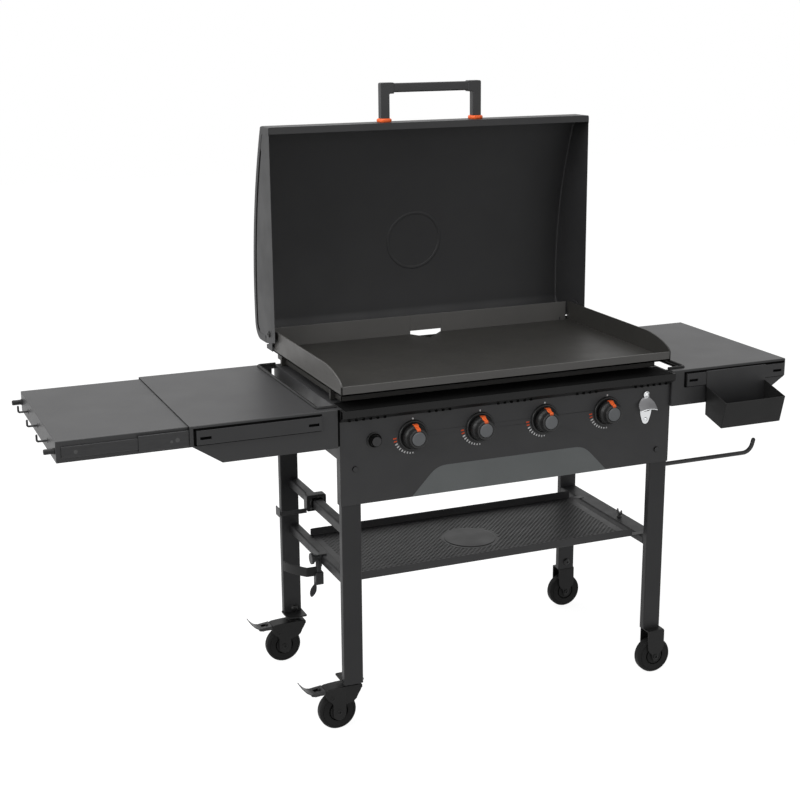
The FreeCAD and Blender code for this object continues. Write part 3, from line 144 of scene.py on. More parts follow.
bpy.context.scene.view_settings.view_transform = "Standard"
world = bpy.data.worlds.new("white_room")
bpy.context.scene.world = world
world.use_nodes = True
room = world.node_tree.nodes["Background"]
room.inputs["Color"].default_value = (1, 1, 1, 1)
world.node_tree.links.new(white_for_the_eye(world.node_tree, ROOM_CAST, ROOM_WHITE), room.inputs["Strength"])


def softbox(name, place, aim, size, power):
    """A rectangular lamp in metres that points from one place at another."""
    lamp = bpy.data.lights.new(name, "AREA")
    lamp.shape = "RECTANGLE"
    lamp.size, lamp.size_y = size
    lamp.energy = power
    piece = bpy.data.objects.new(name, lamp)
    bpy.context.scene.collection.objects.link(piece)
    toward = Vector(aim) - Vector(place)
    piece.matrix_world = Matrix.Translation(place) @ toward.to_track_quat("-Z", "Y").to_matrix().to_4x4()


softbox("overhead_lamp", (-0.6, 0.2, 3.6), (0, 0, 0.8), (3.2, 2.4), 60)
softbox("left_lamp", (-3.5, -0.9, 2.5), (0, 0, 1.2), (2.2, 2.4), 72)
softbox("front_lamp", (0.9, -4.2, 2.2), (0, 0, 0.8), (2.6, 2.0), 24)

# %% [markdown]
# The floor is a wide pale sheet that belongs to the studio. A little of its brightness is
# its own for the eye, so it reads as white around the wheels and still darkens in the
# object's shadow.

# %% The studio floor
FLOOR_HALF, FLOOR_DROP = 12.0, 0.0005
FLOOR_GREY, FLOOR_GLOW = 0.3, 0.92

floor_mesh = bpy.data.meshes.new("studio_floor")
shape = bmesh.new()
bmesh.ops.create_grid(shape, x_segments=1, y_segments=1, size=FLOOR_HALF)
bmesh.ops.translate(shape, vec=(0, 0, -FLOOR_DROP), verts=shape.verts)
shape.to_mesh(floor_mesh)
shape.free()
floor = bpy.data.objects.new("studio_floor", floor_mesh)
bpy.context.scene.collection.objects.link(floor)
paper = bpy.data.materials.new("studio_paper")
paper.use_nodes = True
sheet_shader = paper.node_tree.nodes["Principled BSDF"]
sheet_shader.inputs["Base Color"].default_value = (FLOOR_GREY, FLOOR_GREY, FLOOR_GREY, 1)
sheet_shader.inputs["Roughness"].default_value = 1.0
sheet_shader.inputs["Specular IOR Level"].default_value = 0.0
sheet_shader.inputs["Emission Color"].default_value = (1, 1, 1, 1)
paper.node_tree.links.new(white_for_the_eye(paper.node_tree, 0.0, FLOOR_GLOW), sheet_shader.inputs["Emission Strength"])
floor_mesh.materials.append(paper)

# %% [markdown]
# Every metal finish here is one recipe with other numbers. A broad noise drifts the colour
# a little, a second one drifts the roughness, and a very fine one lifts the surface as a
# baked powder coat does. All of them read Object coordinates, which are metres in the
# shared frame, so the grain has its real size on every piece.

# %% The recipe for a finish
GRAIN_HEIGHT = 0.0004


def noise(tree, where, scale, detail, stretch):
    """A noise factor on Object coordinates, stretched along an axis if asked."""
    texture = tree.nodes.new("ShaderNodeTexNoise")
    texture.inputs["Scale"].default_value = scale
    texture.inputs["Detail"].default_value = detail
    if stretch:
        turn = tree.nodes.new("ShaderNodeMapping")
        turn.inputs["Scale"].default_value = stretch
        tree.links.new(where, turn.inputs["Vector"])
        where = turn.outputs["Vector"]
    tree.links.new(where, texture.inputs["Vector"])
    return texture.outputs["Fac"]


def finish(name, dark, light, rough, metallic=0.0, drift=9.0, grain=900.0, lift=0.08,
           specular=0.34, stretch=None):
    """A coat or bare metal that drifts between two colours and two roughnesses."""
    material = bpy.data.materials.new(name)
    material.use_nodes = True
    tree = material.node_tree
    shader = tree.nodes["Principled BSDF"]
    where = tree.nodes.new("ShaderNodeTexCoord").outputs["Object"]
    blend = tree.nodes.new("ShaderNodeMix")
    blend.data_type = "RGBA"
    blend.inputs["A"].default_value = (*dark, 1)
    blend.inputs["B"].default_value = (*light, 1)
    tree.links.new(between(tree, noise(tree, where, drift, 4.0, stretch), 0, 1), blend.inputs["Factor"])
    tree.links.new(blend.outputs["Result"], shader.inputs["Base Color"])
    tree.links.new(between(tree, noise(tree, where, drift * 2.3, 2.0, stretch), *rough), shader.inputs["Roughness"])
    bump = tree.nodes.new("ShaderNodeBump")
    bump.inputs["Strength"].default_value = lift
    bump.inputs["Distance"].default_value = GRAIN_HEIGHT
    tree.links.new(noise(tree, where, grain, 2.0, stretch), bump.inputs["Height"])
    tree.links.new(bump.outputs["Normal"], shader.inputs["Normal"])
    shader.inputs["Metallic"].default_value = metallic
    shader.inputs["Specular IOR Level"].default_value = specular
    return material


BLACK_COAT = finish("black_powder_coat", (0.026, 0.026, 0.027), (0.032, 0.032, 0.033), (0.42, 0.52))
SHELF_COAT = finish("shelf_powder_coat", (0.032, 0.032, 0.033), (0.035, 0.035, 0.036), (0.43, 0.46), drift=5.0)
HOOD_COAT = finish("hood_heat_coat", (0.023, 0.023, 0.024), (0.028, 0.028, 0.029), (0.46, 0.56), drift=5.0)
SEASONED = finish("seasoned_plate_steel", (0.028, 0.027, 0.025), (0.032, 0.031, 0.028), (0.46, 0.52),
                  drift=7.0, grain=500.0, lift=0.12, specular=0.3)
OPENER_GREY = finish("opener_grey_plate", (0.20, 0.20, 0.205), (0.24, 0.24, 0.245), (0.3, 0.4), metallic=1.0)
# Lighter steel for the walls that face the light: painted light on the plate's walls.
LIT_WALL_PAINT = finish("plate_wall_painted_light", (0.090, 0.088, 0.084), (0.101, 0.098, 0.094), (0.44, 0.52),
                   drift=7.0, grain=500.0, lift=0.12)
BEAD_BLACK = finish("slot_bead_black", (0.007, 0.007, 0.007), (0.010, 0.010, 0.010), (0.4, 0.5), specular=0.2)
TUBE_COAT = finish("leg_powder_coat", (0.020, 0.020, 0.021), (0.024, 0.024, 0.025), (0.42, 0.5), grain=1100.0,
                   specular=0.27)
CASTER_COAT = finish("caster_black_coat", (0.011, 0.011, 0.011), (0.015, 0.015, 0.015), (0.38, 0.48), specular=0.2)
PEDAL_COAT = finish("pedal_black_coat", (0.024, 0.024, 0.025), (0.032, 0.032, 0.033), (0.36, 0.46))
BIN_COAT = finish("bin_black_coat", (0.010, 0.010, 0.010), (0.013, 0.013, 0.013), (0.42, 0.5), specular=0.2)
STRAP_COAT = finish("strap_black_coat", (0.012, 0.012, 0.012), (0.016, 0.016, 0.016), (0.44, 0.52), specular=0.26)
SLIDE_STEEL = finish("black_slide_steel", (0.030, 0.030, 0.031), (0.040, 0.040, 0.041), (0.3, 0.42),
                     metallic=0.2, stretch=(4, 60, 60))
STAINLESS = finish("burner_stainless", (0.42, 0.41, 0.39), (0.55, 0.54, 0.52), (0.28, 0.4), metallic=1.0,
                   stretch=(60, 6, 60))
PIPE_METAL = finish("bare_gas_pipe", (0.48, 0.48, 0.48), (0.60, 0.60, 0.60), (0.3, 0.42), metallic=1.0)
CHROME = finish("opener_chrome", (0.60, 0.61, 0.62), (0.72, 0.73, 0.74), (0.10, 0.2), metallic=1.0, lift=0.02)
DARK_SCREW = finish("blackened_screw_steel", (0.05, 0.05, 0.05), (0.09, 0.09, 0.09), (0.3, 0.4), metallic=0.6)
KNOB_BLACK = finish("knob_black_plastic", (0.013, 0.013, 0.013), (0.018, 0.018, 0.018), (0.34, 0.42), grain=2000.0)
GRIP_BLACK = finish("handle_black_plastic", (0.022, 0.022, 0.023), (0.028, 0.028, 0.029), (0.38, 0.46), grain=1600.0)
CAP_GREY = finish("knob_grey_cap", (0.10, 0.105, 0.11), (0.13, 0.135, 0.14), (0.3, 0.4), metallic=0.3)
ORANGE = finish("orange_plastic", (0.92, 0.14, 0.03), (0.96, 0.16, 0.036), (0.38, 0.48))
ORANGE_PRINT = finish("orange_panel_print", (0.70, 0.08, 0.02), (0.74, 0.09, 0.025), (0.5, 0.6))
WHITE_PRINT = finish("white_panel_print", (0.72, 0.72, 0.72), (0.80, 0.80, 0.80), (0.5, 0.6))
TRAY_COAT = finish("tray_powder_coat", (0.026, 0.026, 0.027), (0.032, 0.032, 0.033), (0.40, 0.48), grain=1000.0)
GREY_PRINT = finish("grey_panel_print", (0.150, 0.160, 0.160), (0.163, 0.173, 0.173), (0.5, 0.6))
TYRE = finish("tyre_black", (0.012, 0.012, 0.012), (0.015, 0.015, 0.015), (0.56, 0.68), grain=1400.0, lift=0.15,
              specular=0.14)
# Near black that paints shade: deep gaps, joints, holes and the shadowed sides of small heads.
SHADE_BLACK = finish("painted_shade_black", (0.003, 0.003, 0.003), (0.005, 0.005, 0.005), (0.8, 0.9), specular=0.05)
BUMPER = finish("bumper_rubber", (0.012, 0.012, 0.012), (0.018, 0.018, 0.018), (0.55, 0.7), lift=0.15)

# %% [markdown]
# Sheet steel never ends in a knife edge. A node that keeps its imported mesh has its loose
# triangles welded by a modifier and its sharp edges bevelled by less than half the sheet,
# and the new normals are kept flat on the broad faces.

# %% Coats for the nodes that keep their mesh
FOLD_ANGLE = math.radians(32)
WELD_REACH = 1e-5


def soften(piece, name, radius, steps, angle=FOLD_ANGLE):
    """Round the edges that turn by more than an angle, radius in millimetres."""
    soft = piece.modifiers.new(name, "BEVEL")
    soft.width = radius * MM
    soft.segments = steps
    soft.limit_method = "ANGLE"
    soft.angle_limit = angle
    return soft


def dress(node, material, radius):
    """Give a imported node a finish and, with a radius, soft edges."""
    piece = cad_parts[node]
    piece.data.materials.clear()
    piece.data.materials.append(material)
    weld = piece.modifiers.new("join_triangles", "WELD")
    weld.merge_threshold = WELD_REACH
    if radius:
        soften(piece, "soft_edges", radius, 2).harden_normals = True


KEPT = {
    "top_frame": (BLACK_COAT, 0.6), "body_panels": (BLACK_COAT, 0.6),
    "control_panel": (BLACK_COAT, 0.6), "front_rail": (BIN_COAT, 0.5), "firebox": (HOOD_COAT, 0.4),
    "burners": (STAINLESS, 0), "manifold": (PIPE_METAL, 0), "valve_bodies": (PIPE_METAL, 0.8),
    "igniter_module": (KNOB_BLACK, 0.8),
    "grease_cup": (BLACK_COAT, 0.5), "cup_runners": (BLACK_COAT, 0.5),
}
KEPT.update({"valve_stem_%d" % index: (PIPE_METAL, 0) for index in (1, 2, 3, 4)})
for node, (material, radius) in KEPT.items():
    dress(node, material, radius)
print(len(KEPT), "nodes dressed of", len(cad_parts))

# %% [markdown]
# The pieces that are built again start from a few simple acts: a block, an outline pushed
# along an axis, and a profile spun about one. Each is drawn in working millimetres.

# %% Blocks, pushed outlines and turned profiles
LEVEL_WEIGHT = 80
AXES = {"X": Vector((1, 0, 0)), "Y": Vector((0, 1, 0)), "Z": Vector((0, 0, 1))}


def block(shape, low, high):
    """A cuboid between two corners."""
    made = bmesh.ops.create_cube(shape, size=1.0)["verts"]
    bmesh.ops.scale(shape, vec=Vector(high) - Vector(low), verts=made)
    bmesh.ops.translate(shape, vec=(Vector(high) + Vector(low)) / 2, verts=made)


def spot(axis, pair, along):
    """A point from its place along one axis and a pair for the other two."""
    values = list(pair)
    values.insert("XYZ".index(axis), along)
    return Vector(values)


def pushed(shape, outline, axis, start, end):
    """A flat outline pushed along an axis into a solid."""
    face = shape.faces.new([shape.verts.new(spot(axis, pair, start)) for pair in outline])
    made = bmesh.ops.extrude_face_region(shape, geom=[face])["geom"]
    moved = [v for v in made if isinstance(v, bmesh.types.BMVert)]
    bmesh.ops.translate(shape, vec=AXES[axis] * (end - start), verts=moved)
    return list(face.verts) + moved


def turned(shape, profile, centre, axis="Y", steps=48):
    """Pairs of radius and distance along the axis, spun about it."""
    out = AXES["Z"] if axis != "Z" else AXES["X"]
    verts = [shape.verts.new(Vector(centre) + out * radius + AXES[axis] * along) for radius, along in profile]
    edges = [shape.edges.new(pair) for pair in zip(verts, verts[1:])]
    bmesh.ops.spin(shape, geom=verts + edges, cent=centre, axis=AXES[axis], dvec=(0, 0, 0),
                   angle=math.tau, steps=steps, use_merge=True)


def bridge(shape, rings, closed=True):
    """Faces between neighbouring rings of points, or between rows that stay open."""
    for a, b in zip(rings, rings[1:]):
        for i in range(len(a) if closed else len(a) - 1):
            j = (i + 1) % len(a)
            shape.faces.new((a[i], a[j], b[j], b[i]))


def arc_points(centre, radius, start, end, count):
    """Points on an arc, in degrees, of the plane that an outline is drawn in."""
    turns = [math.radians(start + (end - start) * i / (count - 1)) for i in range(count)]
    return [(centre[0] + radius * math.cos(turn), centre[1] + radius * math.sin(turn)) for turn in turns]


def level_normals(piece):
    """Keep the shading of broad faces flat beside their narrow round edges."""
    level = piece.modifiers.new("level_normals", "WEIGHTED_NORMAL")
    level.keep_sharp = True
    level.weight = LEVEL_WEIGHT


def settle(shape, name, material, stands_for=(), body="stand", slot="body_paint", radius=0.0, steps=2, angle=35,
           clean=True, level=True):
    """Carry a finished shape into the frame and hand it to the body that it rides on."""
    if clean:
        bmesh.ops.remove_doubles(shape, verts=shape.verts, dist=0.005)
        bmesh.ops.recalc_face_normals(shape, faces=shape.faces)
    bmesh.ops.transform(shape, matrix=INTO_FRAME, verts=shape.verts)
    mesh = bpy.data.meshes.new(name)
    shape.to_mesh(mesh)
    shape.free()
    mesh.materials.append(material)
    mesh.shade_smooth()
    mesh.set_sharp_from_angle(angle=math.radians(angle))
    piece = bpy.data.objects.new(name, mesh)
    bpy.context.scene.collection.objects.link(piece)
    if radius:
        soften(piece, "soft_edges", radius, steps)
    if level:
        level_normals(piece)
    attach(piece, body)
    if stands_for:
        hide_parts(*stands_for)
    return piece


def spun(name, material, profile, centres, axis="Y", steps=48, **more):
    """Settle a piece that is the same turning at each of its centres."""
    shape = bmesh.new()
    for centre in centres:
        turned(shape, profile, centre, axis, steps)
    settle(shape, name, material, **more)


def blocks(name, material, corners, **more):
    """Settle a piece that is made of blocks, each given by two corners."""
    shape = bmesh.new()
    for low, high in corners:
        block(shape, low, high)
    settle(shape, name, material, **more)


# %% [markdown]
# A control knob is a moulded turning: a skirt, a shoulder that narrows, and a ring round a
# grey metal cap. Spinning one profile gives all of that. The pointer is a raised rib that
# follows the same shoulder, so it is cut from the profile and pushed sideways.

# %% Knobs
KNOB_X = (-271.95, -90.65, 90.65, 271.95)
KNOB_Z = 758.5
KNOB_PROFILE = ((4.3, -11.2), (29.5, -11.2), (31.0, -12.4), (31.0, -19.0), (30.4, -21.6), (27.8, -25.2),
                (25.6, -29.0), (24.6, -33.5), (24.1, -37.6), (23.2, -38.9), (21.8, -39.4), (19.6, -39.4),
                (18.6, -38.8), (18.2, -38.0))
KNOB_HOLLOW = ((17.6, -34.0), (4.3, -34.0), KNOB_PROFILE[0])
CAP_PROFILE = ((0.0, -40.6), (14.0, -40.6), (16.4, -40.3), (17.4, -39.4), (17.6, -37.0), (4.4, -37.0),
               (4.4, -40.0), (0.0, -40.0))
POINTER_RISE, POINTER_HALF = 0.7, (6.4, 4.8)
POINTER_TIP, POINTER_LONG = -40.0, 28.0

for index, x in enumerate(KNOB_X, start=1):
    knob, dial = "knob_%d" % index, "dial_%d" % index
    spun(knob + "_body", KNOB_BLACK, KNOB_PROFILE + KNOB_HOLLOW, [(x, 0, KNOB_Z)], body=dial, slot="knob_black",
         steps=72, stands_for=[knob])
    spun(knob + "_cap", CAP_GREY, CAP_PROFILE, [(x, 0, KNOB_Z)], body=dial, slot="knob_black", steps=56)
    shape = bmesh.new()
    ridge = [point for point in KNOB_PROFILE[2:12] if point[0] > 18]
    outline = [(y, KNOB_Z + radius + POINTER_RISE) for radius, y in ridge]
    outline = [(y - POINTER_RISE * (i / len(outline)), z) for i, (y, z) in enumerate(outline)]
    under = [(y + 0.8, z - 2.2) for y, z in reversed(outline)]
    verts = pushed(shape, outline + under, "X", x - 1, x + 1)
    for vert in verts:
        depth = (vert.co.y - POINTER_TIP) / POINTER_LONG
        half = POINTER_HALF[1] + (POINTER_HALF[0] - POINTER_HALF[1]) * max(0.0, min(1.0, depth))
        vert.co.x = x + math.copysign(half, vert.co.x - x)
    settle(shape, knob + "_pointer", ORANGE, body=dial, slot="orange_plastic", radius=0.4)
print("knobs at", KNOB_X)

# %% [markdown]
# The bezel behind each knob is a shallow dish with a raised rim. Its profile is spun like
# the knob's.

# %% Bezels
BEZEL_PROFILE = ((14.2, -1.6), (14.2, -5.0), (31.5, -5.0), (33.0, -5.6), (33.8, -7.0), (35.2, -7.6), (37.2, -7.2),
                 (38.6, -5.6), (39.0, -3.6), (39.0, -1.6), (14.2, -1.6))
spun("bezel_dishes", KNOB_BLACK, BEZEL_PROFILE, [(x, 0, KNOB_Z) for x in KNOB_X], slot="knob_black", steps=72,
     stands_for=["knob_bezels"])

# %% [markdown]
# Round each knob the panel is printed: a dot over the off position, and marks from the left
# round to the bottom that shrink from high to low, the first two in orange. Print is
# thinner than paint, so each mark is a tile a tenth of a millimetre proud of the panel.

# %% Marks printed round the knobs
PANEL_FACE = -1.5
PRINT_THICK = 0.12
MARK_COUNT = 10
MARK_RADIUS = 48.0
DOT_Z = 800.7


def printed(name, outlines, material):
    """Tiles of print on the control panel, from outlines in X and Z."""
    tiles = bmesh.new()
    for outline in outlines:
        pushed(tiles, outline, "Y", PANEL_FACE, PANEL_FACE - PRINT_THICK)
    settle(tiles, name, material, slot="knob_black")


def mark(x, step):
    """One mark of the scale: a bar that points at the knob's centre."""
    share = step / (MARK_COUNT - 1)
    turn = math.radians(180 + 4 + 86 * share)
    long, wide = 8.6 - 5.0 * share, 3.6 - 0.7 * share
    out, side = Vector((math.cos(turn), math.sin(turn))), Vector((-math.sin(turn), math.cos(turn)))
    middle = Vector((x, KNOB_Z)) + out * (MARK_RADIUS - 3.6 * share)
    corners = ((-1, -1), (1, -1), (1, 1), (-1, 1))
    return [tuple(middle + out * (a * long / 2) + side * (b * wide / 2)) for a, b in corners]


orange_marks, white_marks = [], []
for x in KNOB_X:
    for step in range(MARK_COUNT):
        (orange_marks if step < 2 else white_marks).append(mark(x, step))
    white_marks.append(arc_points((x, DOT_Z), 2.4, 0, 330, 12))
printed("scale_marks_orange", orange_marks, ORANGE_PRINT)
printed("scale_marks_white", white_marks, WHITE_PRINT)

# %% [markdown]
# Along its lower edge the panel carries a wide grey band with sloping ends and rounded upper
# corners. Two arcs join the slopes to the top edge.

# %% The grey band
BAND_TOP, BAND_FOOT, PANEL_LOW = 672.0, 600.2, 600.0
BAND_FOOT_HALF, BAND_TOP_HALF, BAND_BEND = 275.0, 207.0, 26.0


def band_corner(sign):
    """Points round an upper corner, from the slope to the top edge on one side."""
    corner = Vector((sign * BAND_TOP_HALF, BAND_TOP))
    down = Vector((sign * (BAND_FOOT_HALF - BAND_TOP_HALF), PANEL_LOW - BAND_TOP)).normalized()
    flat = Vector((-sign, 0))
    return [tuple(corner + down * BAND_BEND * (1 - t) ** 2 + flat * BAND_BEND * t ** 2)
            for t in (i / 6 for i in range(7))]


band = [(-BAND_FOOT_HALF, BAND_FOOT)] + band_corner(-1) + band_corner(1)[::-1] + [(BAND_FOOT_HALF, BAND_FOOT)]
printed("panel_grey_band", [band], GREY_PRINT)

# %% [markdown]
# The igniter button has a broad flat head with a thin disc on its face, inside a collar; the
# head's sides and the collar are black as painted shade.

# %% Igniter button
BUTTON = [(-373.2, 0, KNOB_Z)]
BUTTON_HEAD = ((0.0, -18.6), (11.8, -18.6), (12.8, -18.4), (13.2, -17.4), (13.2, -11.4), (12.6, -10.9),
               (7.0, -10.9), (7.0, 8.0), (0.0, 8.0))
BUTTON_FACE = ((0.0, -19.0), (11.6, -19.0), (11.8, -18.5), (0.0, -18.5))
BUTTON_COLLAR = ((14.2, -1.5), (17.8, -1.5), (17.8, -5.0), (16.8, -6.6), (15.6, -7.0), (14.2, -7.0), (14.2, -1.5))
spun("igniter_button_head", SHADE_BLACK, BUTTON_HEAD, BUTTON, body="igniter", slot="knob_black",
     stands_for=["igniter_button"])
spun("igniter_button_face", BLACK_COAT, BUTTON_FACE, BUTTON, body="igniter", slot="knob_black")
spun("igniter_collar", SHADE_BLACK, BUTTON_COLLAR, BUTTON, slot="knob_black")

# %% [markdown]
# Tubes, folded sheets and bent bars make up nearly all of the stand. A tube is two rounded
# rectangles with walls between them. A sheet starts as the outer faces of its panels, the
# edges that they share are rolled to the bend's radius, and a modifier gives it thickness.
# A bar is a ring carried along a path whose corners have been turned into arcs.

# %% Tubes, folded sheets and bent bars
CORNER_STEPS = 6
TUBE_WALL = 1.5


def rounded(low, high, radius):
    """A rectangle with round corners, from its lowest and highest corner."""
    corners = (((high[0] - radius, low[1] + radius), -90), ((high[0] - radius, high[1] - radius), 0),
               ((low[0] + radius, high[1] - radius), 90), ((low[0] + radius, low[1] + radius), 180))
    points = []
    for centre, turn in corners:
        points += arc_points(centre, radius, turn, turn + 90, CORNER_STEPS)
    return points


def tube(shape, low, high, axis, start, end, radius=3.0):
    """A rounded rectangular tube along an axis, open at both ends."""
    outer = rounded(low, high, radius)
    inner = rounded((low[0] + TUBE_WALL, low[1] + TUBE_WALL), (high[0] - TUBE_WALL, high[1] - TUBE_WALL),
                    radius - TUBE_WALL)
    rings = [[shape.verts.new(spot(axis, pair, along)) for pair in outline]
             for outline in (outer, inner) for along in (start, end)]
    bridge(shape, [rings[i] for i in (0, 1, 3, 2, 0)])


def bend_path(points, radius, steps=8):
    """A run of points with each inner corner turned into an arc."""
    path = [Vector(points[0])]
    for before, corner, after in zip(points, points[1:], points[2:]):
        corner = Vector(corner)
        back = (Vector(before) - corner).normalized()
        ahead = (Vector(after) - corner).normalized()
        half = back.angle(ahead) / 2
        centre = corner + (back + ahead).normalized() * radius / math.sin(half)
        start = corner + back * radius / math.tan(half) - centre
        end = corner + ahead * radius / math.tan(half) - centre
        path += [centre + start.slerp(end, i / steps).normalized() * radius for i in range(steps + 1)]
    path.append(Vector(points[-1]))
    return path


def bar(shape, path, radius, steps=20, domed=False):
    """A round bar along a path, its far end flat or domed."""
    path = [Vector(point) for point in path]
    radii = [radius] * len(path)
    if domed:
        ahead = (path[-1] - path[-2]).normalized()
        tip = path[-1]
        path[-1] = tip - ahead * radius
        for i in range(1, 6):
            turn = math.pi / 2 * i / 6
            path.append(tip - ahead * radius * (1 - math.sin(turn)))
            radii.append(radius * math.cos(turn))
    ways = [(b - a).normalized() for a, b in zip(path, path[1:])]
    ways.append(ways[-1])
    side = ways[0].orthogonal().normalized()
    rings = []
    for i, (point, wide) in enumerate(zip(path, radii)):
        along = (ways[max(i - 1, 0)] + ways[i]).normalized()
        side = (side - along * side.dot(along)).normalized()
        other = along.cross(side)
        ring = []
        for k in range(steps):
            turn = math.tau * k / steps
            ring.append(shape.verts.new(point + (side * math.cos(turn) + other * math.sin(turn)) * wide))
        rings.append(ring)
    bridge(shape, rings)
    shape.faces.new(list(reversed(rings[0])))
    shape.faces.new(rings[-1])


def rolled(panels, out, bend=2.5, steps=5):
    """The outer skin of a folded sheet, its shared edges rolled and its first face towards out."""
    shape = bmesh.new()
    for panel in panels:
        shape.faces.new([shape.verts.new(Vector(point)) for point in panel])
    bmesh.ops.remove_doubles(shape, verts=shape.verts, dist=0.01)
    bmesh.ops.recalc_face_normals(shape, faces=shape.faces)
    shape.faces.ensure_lookup_table()
    if shape.faces[0].normal.dot(Vector(out)) < 0:
        bmesh.ops.reverse_faces(shape, faces=shape.faces)
    folds = [edge for edge in shape.edges if len(edge.link_faces) == 2 and edge.calc_face_angle() > 0.3]
    bmesh.ops.bevel(shape, geom=folds, offset=bend, offset_type="OFFSET", segments=steps, profile=0.5,
                    affect="EDGES", material=-1)
    return shape


def folded(shape, name, material, stands_for=(), body="stand", slot="body_paint", thick=1.5, edge=0.35):
    """Give a rolled skin its thickness, inwards, and soften its cut edges."""
    piece = settle(shape, name, material, stands_for, body=body, slot=slot, clean=False, level=False)
    wall = piece.modifiers.new("sheet_thickness", "SOLIDIFY")
    wall.thickness = thick * MM
    wall.offset = -1
    wall.use_even_offset = True
    soften(piece, "cut_edges", edge, 2, math.radians(50))
    level_normals(piece)


def strips(left, right, *pairs):
    """Panels that run along X between two places, through two or more pairs of Y and Z."""
    return [[(left, *a), (right, *a), (right, *b), (left, *b)] for a, b in zip(pairs, pairs[1:])]


# %% [markdown]
# The legs are folded tubes, cut off square at the casters. Three slimmer tubes join them from
# front to back, two on the side of the gas tank and one on the other.

# %% Legs and the bars between them
LEG_OUT, LEG_IN, LEG_DEEP = 459.7, 409.0, 20.8
LEG_FOOT, LEG_TOP, REAR_LEG = 125.0, 842.0, 478.7
BAR_WIDE, BAR_TALL = 26.0, 26.5
BAR_LOW, BAR_HIGH, RIGHT_BAR = 364.8, 498.4, 22.0

for name, front in (("front", 0.0), ("rear", REAR_LEG)):
    shape = bmesh.new()
    for sign in (-1, 1):
        near, far = sorted((sign * LEG_IN, sign * LEG_OUT))
        tube(shape, (near, front), (far, front + LEG_DEEP), "Z", LEG_FOOT, LEG_TOP)
    settle(shape, name + "_leg_tubes", TUBE_COAT, [name + "_legs"])

shape = bmesh.new()
for near, far, low, tall in ((-LEG_IN - BAR_WIDE, -LEG_IN, BAR_LOW, BAR_TALL),
                             (-LEG_IN - BAR_WIDE, -LEG_IN, BAR_HIGH, BAR_TALL),
                             (LEG_IN, LEG_OUT, BAR_LOW, RIGHT_BAR)):
    tube(shape, (near, low), (far, low + tall), "Y", LEG_DEEP, REAR_LEG, radius=4.4)
settle(shape, "side_bar_tubes", TUBE_COAT, ["crossbars"])

# %% [markdown]
# The bottom tray is one folded sheet: its front and rear lips turn up, and two tabs lie over
# the right bar. Its floor is pressed with a pattern of short slanting dashes in staggered
# rows, which stops at a plain raised disc. The dashes are small lens-shaped bumps, laid out
# by a loop, each with just enough faces to catch the light on one side.

# %% Bottom tray
TRAY_LEFT, TRAY_LIP_LEFT, TRAY_RIGHT = -409.4, -404.0, 385.0
TRAY_FRONT, TRAY_BACK = 36.0, 385.0
TRAY_LOW, TRAY_LIP = 386.5, 407.5
TAB_DEEP, TAB_RIGHT = 20.0, 423.0
TRAY_TOP = TRAY_LOW + 1.5

tray_floor = [(TRAY_LEFT, TRAY_FRONT), (TRAY_LIP_LEFT, TRAY_FRONT), (TRAY_RIGHT, TRAY_FRONT),
              (TAB_RIGHT, TRAY_FRONT), (TAB_RIGHT, TRAY_FRONT + TAB_DEEP), (TRAY_RIGHT, TRAY_FRONT + TAB_DEEP),
              (TRAY_RIGHT, TRAY_BACK - TAB_DEEP), (TAB_RIGHT, TRAY_BACK - TAB_DEEP), (TAB_RIGHT, TRAY_BACK),
              (TRAY_RIGHT, TRAY_BACK), (TRAY_LIP_LEFT, TRAY_BACK), (TRAY_LEFT, TRAY_BACK)]
panels = [[(x, y, TRAY_LOW) for x, y in tray_floor]]
for y in (TRAY_FRONT, TRAY_BACK):
    panels += strips(TRAY_LIP_LEFT, TRAY_RIGHT, (y, TRAY_LOW), (y, TRAY_LIP))
folded(rolled(panels, (0, 0, -1), bend=2.0), "tray_sheet", TRAY_COAT, ["bottom_tray"])

DISC_CENTRE, DISC_RADIUS, DISC_RISE = (-22.0, 196.0), 70.0, 1.4
DASH_STEP, DASH_CLEAR = (14.0, 7.2), 8.0
DASH_LONG, DASH_WIDE, DASH_RISE = 8.4, 2.6, 0.9
DASH_TURN = math.radians(-24)
PLAIN_EDGE, FIRST_ROW, FIRST_COLUMN = 24.0, 14.0, 16.0

DISC = ((0.0, DISC_RISE), (DISC_RADIUS - 2.6, DISC_RISE), (DISC_RADIUS - 1.2, DISC_RISE - 0.2),
        (DISC_RADIUS, 0.6), (DISC_RADIUS + 0.3, -0.2), (0.0, -0.2))
spun("tray_disc", TRAY_COAT, DISC, [(*DISC_CENTRE, TRAY_TOP)], axis="Z", steps=96)


def dash(shape, x, y):
    """A low ridge with pointed ends: a ring of six on the floor and a crest of two."""
    along = Vector((math.cos(DASH_TURN), math.sin(DASH_TURN), 0))
    side = Vector((-along.y, along.x, 0))
    middle = Vector((x, y, TRAY_TOP))
    ring = [middle + along * DASH_LONG / 2 * a + side * DASH_WIDE / 2 * b
            for a, b in ((-1, 0), (-0.5, -1), (0.5, -1), (1, 0), (0.5, 1), (-0.5, 1))]
    verts = [shape.verts.new(point) for point in ring]
    crest = [shape.verts.new(middle + along * DASH_LONG * a + Vector((0, 0, DASH_RISE))) for a in (-0.24, 0.24)]
    verts += crest
    for corners in ((0, 1, 6), (1, 2, 7, 6), (2, 3, 7), (3, 4, 7), (4, 5, 6, 7), (5, 0, 6)):
        shape.faces.new([verts[i] for i in corners])


